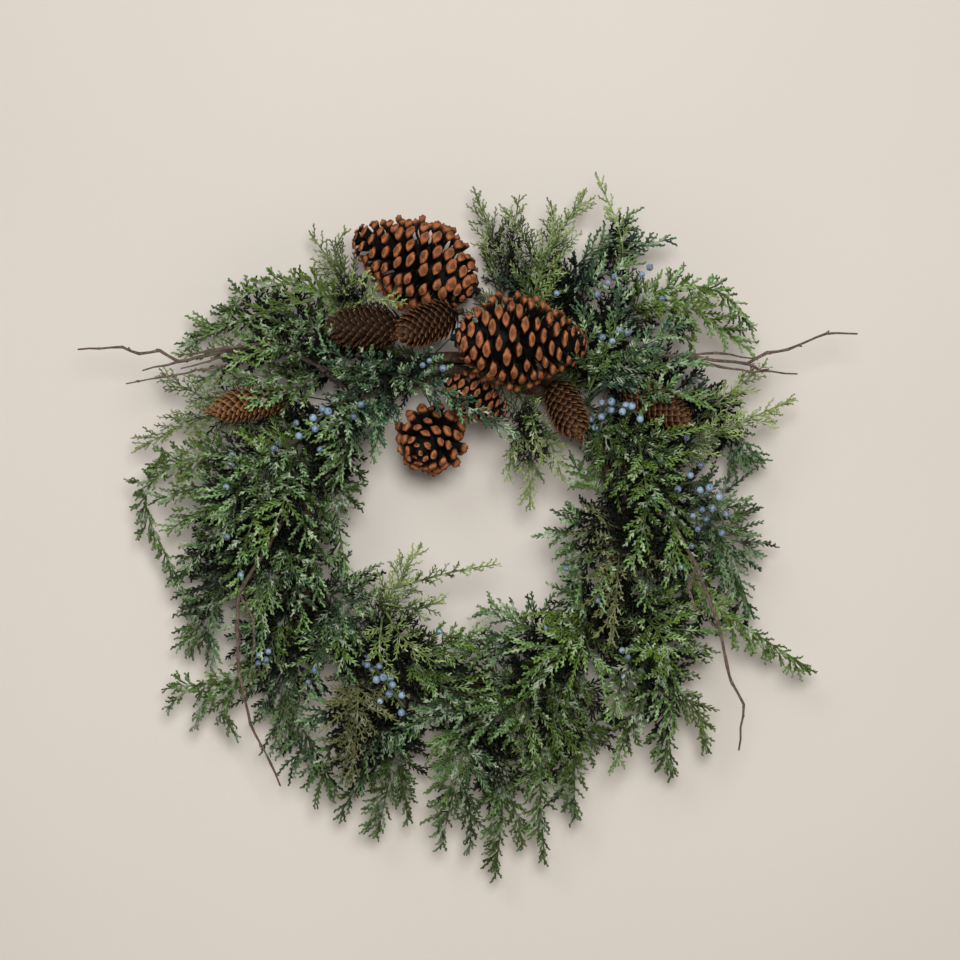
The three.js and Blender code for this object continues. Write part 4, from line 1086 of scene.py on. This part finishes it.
def spray(name, tie, way, fresh, width=1.0, reach=32, last=11, branches=()):
    """A spray: its solid's fingers as branchlets, shoots that cover its stem, and side branches."""
    look, slot = KINDS[name.split("_")[0]]
    rng = np.random.default_rng(sum(map(ord, name)))
    body = Gathered()
    path = stem_path(tie, way)
    share = np.linspace(0, 1, len(path))
    tube(body, path, np.linspace(*STEM_RADII, len(path)) * MM, 5, 0.15 + 0.25 * share, 0.35)
    feet, tips, facing = fingers_of(*solid_of(name))
    tips = feet + (tips - feet) * width
    thin_stalks(body, path, feet, rng, look)
    many = layered(feet, tips, facing, look, rng)
    plumes(body, *many, rng.uniform(0, 1, len(many[0])), look, rng, slender(many[0], path))
    over = cover(path, rng, reach, last)
    slim = OVER_STEM * slender(over[0], path)
    plumes(body, *over, rng.uniform(0, 1, len(slim)), look, rng, slim)
    for points, first, end in branches:
        side = curve([at(*q) for q in points], SIDE_PLACES)
        tube(body, side, np.linspace(*SIDE_RADII, SIDE_PLACES) * MM, 5, 0.3, 0.35)
        for step in SIDE_STEPS:
            over = cover(side, rng, first, end, step)
            slim = OVER_STEM * slender(over[0], side)
            plumes(body, *over, rng.uniform(0, 1, len(slim)), look, rng, slim)
    return piece(name + "_foliage", body, slot, name, age=fresh)


# Name, tie (clock, seat, turn along the ring) and way of each spray, as in the solids, and how yellow
# its tips are. Where they differ from most, then the length of its branchlets as a share, and of its
# first and last shoots in millimetres. Then its side branches: points, first and last shoots.
SPRAYS = [
    ("cedar_top_right", (15, 8, 1), ((92, 222, 14), (158, 290, 20)), 0.0, 1.0, 36, 14, [
        (((116, 250, 16), (158, 256, 24), (194, 264, 22)), 28, 10),
        (((92, 214, 20), (124, 226, 60), (158, 240, 56)), 32, 12),
    ]),
    ("cedar_arch_right", (45, 41, -1), ((178, 214, 42), (232, 214, 38), (268, 180, 26)),
     0.55, 0.8, 34, 12, [
        (((178, 214, 42), (222, 190, 44), (262, 160, 36)), 34, 14),
        (((168, 212, 42), (190, 190, 50), (208, 164, 44)), 32, 12),
    ]),
    ("cedar_right_high", (45, 23, 1), ((205, 122, 14), (278, 60, 10)), 0.0, 1.0, 38, 14, [
        (((116, 126, 46), (136, 176, 74), (144, 226, 64)), 34, 14),
        (((118, 124, 46), (164, 164, 74), (204, 188, 62)), 34, 14),
        (((126, 126, 46), (170, 146, 68), (216, 150, 62)), 32, 14),
        (((116, 130, 46), (112, 170, 76), (108, 204, 66)), 30, 12),
        (((140, 112, 44), (184, 124, 74), (222, 112, 64)), 28, 12),
    ]),
    ("cedar_right_face", (45, 95, 1), ((168, 60, 50), (205, -35, 50)), 0.3, 1.0, 36, 16, [
        (((160, 78, 56), (164, 20, 88), (150, -34, 94)), 34, 14),
        (((168, 60, 52), (190, 10, 70), (184, -46, 80)), 32, 14),
        (((170, 18, 40), (166, -22, 48), (166, -70, 50)), 32, 14),
    ]),
    ("cedar_right_edge", (75, 5, 1), ((228, 6, 10), (268, -82, 8)), 0.1),
    ("cedar_right_inner", (75, 135, 1), ((118, 0, 38), (112, -80, 52)), 0.1, 0.8, 32, 14, [
        (((132, 26, 36), (112, 46, 44), (98, 66, 42)), 26, 12),
        (((120, 6, 40), (126, -30, 84), (122, -66, 92)), 28, 12),
    ]),
    ("cedar_right_point", (75, 40, 1), ((226, -62, 30), (324, -131, 12)), 0.75, 0.7, 26, 8),
    ("cedar_low_right_face", (105, 60, 1), ((182, -100, 54), (192, -182, 48)), 0.35, 1.0, 34, 12, [
        (((182, -110, 54), (152, -176, 50), (138, -214, 36)), 32, 12),
        (((178, -96, 52), (150, -122, 56), (136, -168, 48)), 32, 14),
    ]),
    ("cedar_low_right_edge", (105, 10, 1), ((182, -140, 14), (194, -226, 10)), 0.5, 0.9, 32, 10, [
        (((184, -134, 20), (214, -164, 18), (226, -204, 10)), 30, 9),
    ]),
    ("cedar_low_right_inner", (105, 110, 1), ((108, -90, 46), (62, -150, 48)), 0.5),
    ("cedar_bottom_right_edge", (135, 10, 1), ((104, -190, 12), (104, -265, 8)), 0.6, 1.0, 34, 12, [
        (((110, -184, 14), (134, -170, 20), (154, -184, 18)), 28, 10),
    ]),
    ("cedar_bottom_right_point", (135, 35, 1), ((74, -215, 30), (77, -306, 8)), 0.5, 0.75, 32, 8),
    ("cedar_bottom_face", (135, 95, 1), ((44, -160, 40), (-24, -196, 42)), 0.3, 1.0, 38, 20, [
        (((52, -142, 34), (24, -126, 38), (-8, -130, 40)), 30, 14),
        (((46, -158, 32), (56, -184, 34), (64, -210, 30)), 30, 12),
    ]),
    ("cedar_bottom_point", (165, 15, 1), ((38, -235, 16), (32, -319, 6)), 0.6, 0.75, 32, 8, [
        (((40, -230, 16), (52, -262, 14), (57, -292, 10)), 22, 7),
    ]),
    ("cedar_bottom_middle", (165, 50, 1), ((0, -215, 38), (-18, -291, 14)), 0.1, 0.8, 36, 9, [
        (((0, -220, 34), (10, -262, 20), (8, -296, 12)), 22, 7),
        (((24, -158, 44), (-20, -162, 56), (-54, -178, 52)), 34, 16),
    ]),
    ("cedar_bottom_left_point", (195, 15, 1), ((-60, -200, 14), (-76, -281, 8)), 0.45, 0.8, 34, 9, [
        (((-66, -204, 16), (-96, -238, 14), (-112, -264, 8)), 24, 8),
        (((-60, -206, 16), (-50, -240, 14), (-48, -270, 10)), 22, 7),
    ]),
    ("cedar_bottom_left_face", (195, 60, 1), ((-72, -168, 40), (-92, -235, 30)), 0.08, 1.0, 34, 14, [
        (((-76, -170, 42), (-104, -182, 52), (-124, -208, 46)), 30, 12),
        (((-80, -164, 42), (-110, -158, 54), (-138, -170, 50)), 32, 14),
    ]),
    ("cedar_low_left_edge", (255, 0, -1), ((-162, -135, 8), (-112, -240, 8)), 0.05),
    ("cedar_left_point", (255, 25, -1), ((-192, -128, 26), (-272, -146, 10)), 0.5, 0.55, 26, 8, [
        (((-190, -126, 26), (-214, -156, 20), (-206, -186, 12)), 32, 12),
        (((-206, -134, 24), (-232, -156, 16), (-242, -182, 10)), 18, 8),
        (((-236, -140, 16), (-258, -154, 14), (-268, -166, 10)), 14, 7),
    ]),
    ("cedar_left_low_edge", (285, 0, -1), ((-212, -30, 8), (-247, -117, 8)), 0.12, 1.0, 34, 12, [
        (((-214, -44, 12), (-228, -84, 20), (-222, -124, 18)), 32, 12),
    ]),
    ("cedar_left_arch", (285, 25, 1), ((-238, 66, 26), (-284, 34, 22), (-250, -60, 16)), 0.45, 0.5, 26, 8),
    ("cedar_left_face", (285, 50, -1), ((-168, -25, 42), (-180, -115, 44)), 0.1, 1.0, 32, 11, [
        (((-160, -8, 44), (-146, -40, 60), (-138, -84, 58)), 30, 14),
    ]),
    ("cedar_left_inner", (255, 120, -1), ((-106, -66, 40), (-70, -130, 42)), 0.08, 1.0, 34, 14, [
        (((-112, -78, 42), (-128, -110, 54), (-134, -150, 52)), 34, 16),
        (((-108, -70, 42), (-104, -110, 54), (-96, -140, 56)), 28, 12),
    ]),
    ("cedar_left_high", (315, 90, -1), ((-160, 68, 50), (-218, 4, 48)), 0.2, 1.0, 34, 12, [
        (((-178, 44, 48), (-226, 22, 38), (-266, -2, 26)), 34, 12),
        (((-186, 26, 48), (-232, -16, 36), (-260, -52, 22)), 30, 12),
        (((-178, 44, 48), (-236, 38, 36), (-278, 26, 24)), 30, 12),
        (((-152, 66, 50), (-142, 30, 64), (-136, -12, 60)), 30, 14),
        (((-150, 62, 54), (-156, 20, 88), (-182, -28, 96)), 28, 12),
        (((-168, 50, 52), (-184, 0, 92), (-196, -56, 96)), 26, 10),
    ]),
    ("cedar_upper_left_edge", (315, 18, 1), ((-168, 192, 12), (-256, 166, 10)), 0.2, 1.0, 32, 11, [
        (((-150, 180, 30), (-196, 156, 30), (-240, 132, 22)), 32, 12),
        (((-128, 150, 40), (-152, 164, 62), (-204, 150, 62)), 32, 14),
        (((-120, 142, 44), (-142, 126, 68), (-188, 112, 76)), 30, 14),
        (((-116, 160, 40), (-136, 186, 60), (-176, 178, 56)), 32, 14),
        (((-126, 144, 44), (-166, 138, 58), (-218, 134, 50)), 28, 12),
        (((-160, 172, 30), (-212, 162, 32), (-258, 158, 24)), 22, 9),
    ]),
    ("cedar_upper_left_arch", (345, 35, -1), ((-132, 218, 22), (-190, 216, 22), (-220, 182, 16)),
     0.7, 0.5, 28, 8, [
        (((-132, 208, 26), (-180, 196, 30), (-232, 176, 22)), 22, 9),
    ]),
    ("cedar_inner_top_left", (345, 110, -1), ((-78, 122, 44), (-112, 40, 44)), 0.03, 1.0, 38, 14, [
        (((-66, 142, 40), (-28, 128, 76), (52, 84, 66)), 30, 9),
        (((-60, 146, 36), (-34, 150, 50), (-8, 140, 62)), 28, 14),
        (((-90, 126, 46), (-96, 148, 70), (-124, 164, 68)), 30, 14),
        (((-84, 118, 46), (-104, 96, 72), (-140, 86, 70)), 30, 14),
        (((-80, 118, 46), (-72, 92, 52), (-80, 60, 44)), 20, 8),
    ]),
    ("cedar_inner_left", (315, 150, -1), ((-112, 30, 30), (-100, -50, 36)), 0.2, 0.55, 24, 9, [
        (((-120, 34, 32), (-128, -10, 54), (-126, -64, 54)), 28, 14),
    ]),
    ("cedar_inner_bottom", (135, 165, 1), ((70, -90, 34), (16, -74, 38)), 0.1, 1.0, 34, 18, [
        (((60, -92, 36), (30, -106, 44), (-6, -110, 46)), 34, 18),
        (((44, -92, 38), (16, -100, 46), (-16, -94, 42)), 22, 9),
    ]),
    ("cedar_inner_low", (225, 125, -1), ((-50, -112, 30), (14, -122, 34)), 0.5, 1.0, 44, 32, [
        (((-50, -112, 34), (-18, -138, 48), (24, -150, 44)), 34, 18),
        (((-44, -108, 34), (-16, -102, 46), (22, -94, 42)), 34, 18),
    ]),
    ("needle_top_left", (345, 10, -1), ((-88, 200, 6), (-138, 272, 10)), 0.2, 1.0, 34, 12, [
        (((-100, 226, 8), (-114, 250, 14), (-104, 274, 12)), 20, 8),
        (((-94, 200, 12), (-84, 208, 54), (-46, 200, 80)), 26, 8),
        (((-92, 198, 12), (-104, 214, 48), (-78, 228, 66)), 24, 8),
    ]),
    ("needle_top_a", (15, 26, -1), ((40, 225, 0), (12, 312, 10)), 0.2, 1.0, 32, 10, [
        (((42, 228, 4), (48, 268, 16), (54, 304, 16)), 26, 8),
        (((38, 222, 4), (26, 242, 20), (20, 264, 24)), 20, 8),
    ]),
    ("needle_top_b", (15, 44, 1), ((70, 225, 34), (114, 309, 26)), 0.2, 1.0, 32, 10, [
        (((74, 240, 34), (84, 270, 30), (82, 298, 24)), 20, 8),
        (((66, 228, 34), (60, 262, 30), (38, 292, 22)), 24, 8),
    ]),
    ("needle_top_tip", (45, 5, -1), ((146, 246, 44), (122, 322, 36)), 0.2, 0.7, 26, 8),
    ("needle_right", (75, 22, -1), ((218, 82, 42), (303, 119, 28)), 0.2, 1.0, 32, 10, [
        (((206, 96, 44), (246, 126, 42), (276, 150, 34)), 30, 10),
    ]),
    ("needle_left", (315, 36, -1), ((-202, 110, 22), (-295, 74, 16)), 0.2, 1.0, 34, 10, [
        (((-196, 112, 26), (-240, 124, 26), (-272, 142, 20)), 30, 10),
    ]),
    ("needle_inner_bottom", (225, 150, -1), ((-64, -62, 40), (-34, -12, 46)), 0.2, 1.0, 34, 14, [
        (((-58, -52, 42), (-10, -38, 46), (36, -30, 44)), 18, 6),
        (((-66, -74, 42), (-48, -98, 62), (-20, -118, 66)), 26, 10),
        (((-70, -78, 42), (-70, -116, 66), (-50, -158, 74)), 24, 8),
        (((-66, -66, 42), (-40, -70, 50), (-14, -62, 48)), 24, 10),
    ]),
    ("needle_hanging", (15, 150, 1), ((62, 100, 34), (63, 18, 32)), 0.2, 1.0, 34, 12, [
        (((60, 108, 36), (48, 76, 62), (42, 44, 56)), 24, 9),
        (((66, 104, 36), (84, 70, 58), (92, 44, 48)), 24, 9),
        (((62, 110, 40), (66, 92, 80), (74, 58, 78)), 22, 8),
    ]),
    ("fan_right", (75, 98, 1), ((140, -26, 82), (134, -98, 86)), 0.2),
    ("fan_low_left", (225, 75, -1), ((-90, -150, 72), (-96, -226, 66)), 0.2),
]

# Name, tie and way of each sprig of berries, as in the solids.
BERRIES = [
    ("berries_top_left", (315, 112, -1), ((-116, 106, 66), (-136, 86, 80))),
    ("berries_top_right", (45, 77, 1), ((134, 112, 66), (158, 104, 80))),
    ("berries_right", (75, 58, 1), ((214, 42, 64), (236, 2, 70))),
    ("berries_low_left", (225, 105, -1), ((-70, -126, 82), (-48, -154, 90))),
]


# ---- berries ----

BERRY_ROWS = 7
BERRY_OUT = np.array([[0.3, 0.4, 0.5, 0.6, 0.7, 0.8, 1.0]])  # 1 is the navel
SPRIG_RADII = (1.5, 0.8)  # in millimetres, at the foot of the stem and at its tip
SPRIG_PLACES = 40
SPRIG_BARE = 17  # the first of these places that bears a berry
SPRIG_BERRIES = 11
STALK_RADIUS = 0.00055  # in metres


def berry(body, middle, radius, away, tint):
    """A round berry with a small dimple where it faces away from its stalk."""
    away = unit(away)
    across = unit(np.cross(away, np.array([0.3, 0.2, 1.0])))
    turn = np.linspace(-0.92, 0.9, BERRY_ROWS) * math.pi / 2
    centres = middle + away * (radius * np.sin(turn))[:, None]
    ring = (radius * np.cos(turn))[None]
    every = (1, BERRY_ROWS, 3)
    loft(body, centres[None], np.broadcast_to(across, every),
         np.broadcast_to(np.cross(away, across), every), ring, ring, 10, BERRY_OUT, np.array([tint]),
         apex=(middle + away * radius * 0.95)[None])


def stalk(body, start, end):
    """A thin stalk that sags a little."""
    bend = (start + end) / 2 + np.array([0.0005, 0.0, -0.0008])
    tube(body, np.array([start, bend, end]), STALK_RADIUS, 4, 0.0, 0.4)


def sprig(name, tie, way):
    """Berries on short stalks round the end of a thin stem."""
    rng = np.random.default_rng(sum(map(ord, name)))
    body = Gathered()
    path = stem_path(tie, way, SPRIG_PLACES)
    tube(body, path, np.linspace(*SPRIG_RADII, SPRIG_PLACES) * MM, 6, 0.0, 0.5)
    along = headings(path)
    for k, place in enumerate(np.linspace(SPRIG_BARE, SPRIG_PLACES - 1, SPRIG_BERRIES).astype(int)):
        turn = k * GOLDEN
        level = unit(np.cross(along[place], np.array([0, -1.0, 0.2])))
        up = np.cross(level, along[place])
        out = math.cos(turn) * level + math.sin(turn) * up + np.array([0, -0.7, -0.1])
        radius = rng.uniform(3.1, 3.7) * MM
        middle = path[place] + unit(out) * (radius + rng.uniform(1.0, 4.0) * MM)
        berry(body, middle, radius, out, rng.uniform(0, 1))
        stalk(body, path[max(place - 2, 0)], middle)
    return piece(name + "_sprig", body, "juniper_berry", name)


# Berries that sit among the leaves, by the part of the wreath they are in: millimetres right and up
# from the ring's centre.
LOOSE = {
    "upper_left": [
        (-88, 112), (-94, 101), (-162, 79), (-166, 73), (-202, 68), (-202, 58), (-207, 39),
        (-146, 96), (-27, 151), (-15, 144), (-33, 147), (-124, 72),
    ],
    "left": [
        (-191, -38), (-180, -112), (-175, -117), (-182, -120), (-172, -109), (-135, -135), (-129, -124),
        (-61, -130), (-208, -6),
    ],
    "top": [
        (87, 213), (131, 219), (137, 225), (169, 234), (163, 229), (126, 171), (141, 177),
        (148, 175), (135, 168), (122, 209), (181, 207),
    ],
    "right": [
        (216, 58), (220, 18), (207, 13), (216, 0), (207, -14), (224, 9), (198, 27),
        (178, 64), (203, 83), (195, -32),
    ],
    "bottom": [
        (-18, -90), (76, -86), (144, -106), (146, -130), (149, -112), (180, -135), (-70, -150),
        (83, -92), (120, -60), (95, -34),
    ],
}


# Leaves so near to a berry, in metres, say how far forward it sits: behind this percentage of them.
# Where there are fewer leaves than enough, there is no berry.
NEAR = 0.007
BEFORE = 14
ENOUGH = 20


def loose_berries(part, places, leaves):
    """Berries just under the front of the leaves, singly or in twos, on stalks that run back."""
    rng = np.random.default_rng(sum(map(ord, part)))
    body = Gathered()
    for right, up in places:
        x, z = right * MM, (up - HANG) * MM
        near = leaves[(np.abs(leaves[:, 0] - x) < NEAR) & (np.abs(leaves[:, 2] - z) < NEAR)]
        if len(near) < ENOUGH:
            continue
        y = np.percentile(near[:, 1], BEFORE)
        radius = rng.uniform(2.6, 3.3) * MM
        middle = np.array([x, y + 0.0005, z])
        back = middle + np.array([rng.uniform(-4, 4), 12, rng.uniform(2, 6)]) * MM
        berry(body, middle, radius, middle - back + np.array([0, -0.004, -0.004]), rng.uniform(0, 1))
        stalk(body, back, middle)
    return piece("berries_among_leaves_" + part, body, "juniper_berry")


# In metres: the cells in which the wreath's front is found, how far behind it a leaf's painted
# shade starts and over what depth it deepens. Then the same painted shade for leaves by how far
# back towards the wall they lie, and by how far below the origin, and how dark these get at most.
CELL = 0.005
FRONT_SHADE_DEPTHS = (0.002, 0.015)
BACK_SHADE_DEPTHS = (-0.045, 0.05)
LOW_SHADE_DEPTHS = (0.26, 0.12)
BACK_SHADE_MOST = 0.6
LOW_SHADE_MOST = 0.2
MARGIN = 0.03  # round the leaves, and behind them all
NEIGHBOURS = (-2, -1, 0, 1, 2)
FRONT_RANK = 13  # which of the 25 sorted fronts about a cell counts: one past the middle


def share_past(value, limits):
    """From 0 at a place to 1 so far beyond it."""
    return np.clip((value - limits[0]) / limits[1], 0, 1)


def shade_inner_leaves(sprays, leaves):
    """Sets each leaf's painted shade, up to 1: leaves behind the wreath's front, near the wall and low down
    are painted darker.
    """
    corner = leaves.min(0) - MARGIN
    spots = ((leaves - corner) / CELL).astype(int)
    edge = int(MARGIN / CELL) + 2
    front = np.full((spots[:, 0].max() + edge, spots[:, 2].max() + edge), MARGIN)
    np.minimum.at(front, (spots[:, 0], spots[:, 2]), leaves[:, 1])
    # A rank near the middle, so that a single stray leaf doesn't count as the front.
    near = [np.roll(front, (i, j), (0, 1)) for i in NEIGHBOURS for j in NEIGHBOURS]
    front = np.sort(np.stack(near), axis=0)[FRONT_RANK]
    for one in sprays:
        points = points_of(one.data)
        spot = ((points - corner) / CELL).astype(int)
        # Painted shade: darker behind the local front, towards the wall and towards the bottom.
        behind = share_past(points[:, 1] - front[spot[:, 0], spot[:, 2]], FRONT_SHADE_DEPTHS)
        back = share_past(points[:, 1], BACK_SHADE_DEPTHS) * BACK_SHADE_MOST
        low = share_past(-points[:, 2], LOW_SHADE_DEPTHS) * LOW_SHADE_MOST
        values = np.empty(len(points) * 4, np.float32)
        layer = one.data.attributes["growth_and_shade"]
        layer.data.foreach_get("color", values)
        values[3::4] = np.clip(np.maximum(behind, back) + low, 0, 1)
        layer.data.foreach_set("color", values)


# ---- the pieces ----

sprays = [spray(*row) for row in SPRAYS]
leaves = np.concatenate([points_of(one.data) for one in sprays])
shade_inner_leaves(sprays, leaves)
for part, places in LOOSE.items():
    loose_berries(part, places, leaves)
for row in BERRIES:
    sprig(*row)
for row in PINE_CONES:
    pine_cone(*row)
for row in SPRUCE_CONES:
    spruce_cone(*row)
for row in TWIGS:
    twig(*row)
vine()
NODES["binding_wire"].data.materials.clear()
NODES["binding_wire"].data.materials.append(LOOKS["green_wire"])


# ---- stage, light and camera ----

FAR = 3  # how far the wall and the floor run to each side, in metres
FLOOR = -1.3
CEILING = 2.2
OUT = -4  # how far the floor runs forward


def plane(name, corners, material):
    """A flat part of the stage."""
    mesh = bpy.data.meshes.new(name)
    mesh.from_pydata(corners, [], [range(len(corners))])
    mesh.materials.append(material)
    made = bpy.data.objects.new(name, mesh)
    bpy.context.scene.collection.objects.link(made)
    return made


WALL_PAINT = matt_wall_paint()
plane("wall", [(-FAR, WALL, FLOOR), (FAR, WALL, FLOOR), (FAR, WALL, CEILING), (-FAR, WALL, CEILING)],
      WALL_PAINT)
plane("floor", [(-FAR, OUT, FLOOR), (FAR, OUT, FLOOR), (FAR, WALL, FLOOR), (-FAR, WALL, FLOOR)],
      WALL_PAINT)


def light(name, place, aim, size, power, tone):
    """A round soft light at a place, turned to what it lights."""
    lamp = bpy.data.lights.new(name, "AREA")
    lamp.shape = "DISK"
    lamp.size = size
    lamp.energy = power
    lamp.color = linear(tone)[:3]
    made = bpy.data.objects.new(name, lamp)
    made.location = place
    made.rotation_euler = (Vector(aim) - Vector(place)).to_track_quat("-Z", "Y").to_euler()
    bpy.context.scene.collection.objects.link(made)


light("key", (-1.15, -2.6, 1.9), (0, 0, -0.08), 1.5, 23, "fffdfb")
light("front", (0.15, -2.3, 0.42), (0, 0, -0.02), 0.9, 46, "fffdfb")
world = bpy.data.worlds.new("room")
bpy.context.scene.world = world
world.use_nodes = True
world.node_tree.nodes["Background"].inputs["Color"].default_value = linear("e8e4dc")
world.node_tree.nodes["Background"].inputs["Strength"].default_value = 0.15
bpy.context.scene.view_settings.view_transform = "Standard"

# 2.1 m in front of the wall, 18 mm right of the ring's centre and 45 mm above it.
CAMERA_PLACE = (0.018, -2.075, -0.0927)

camera = bpy.data.cameras.new("camera")
camera.lens = 85
holder = bpy.data.objects.new("camera", camera)
holder.location = CAMERA_PLACE
holder.rotation_euler = (math.radians(90), 0, 0)
bpy.context.scene.collection.objects.link(holder)
bpy.context.scene.camera = holder
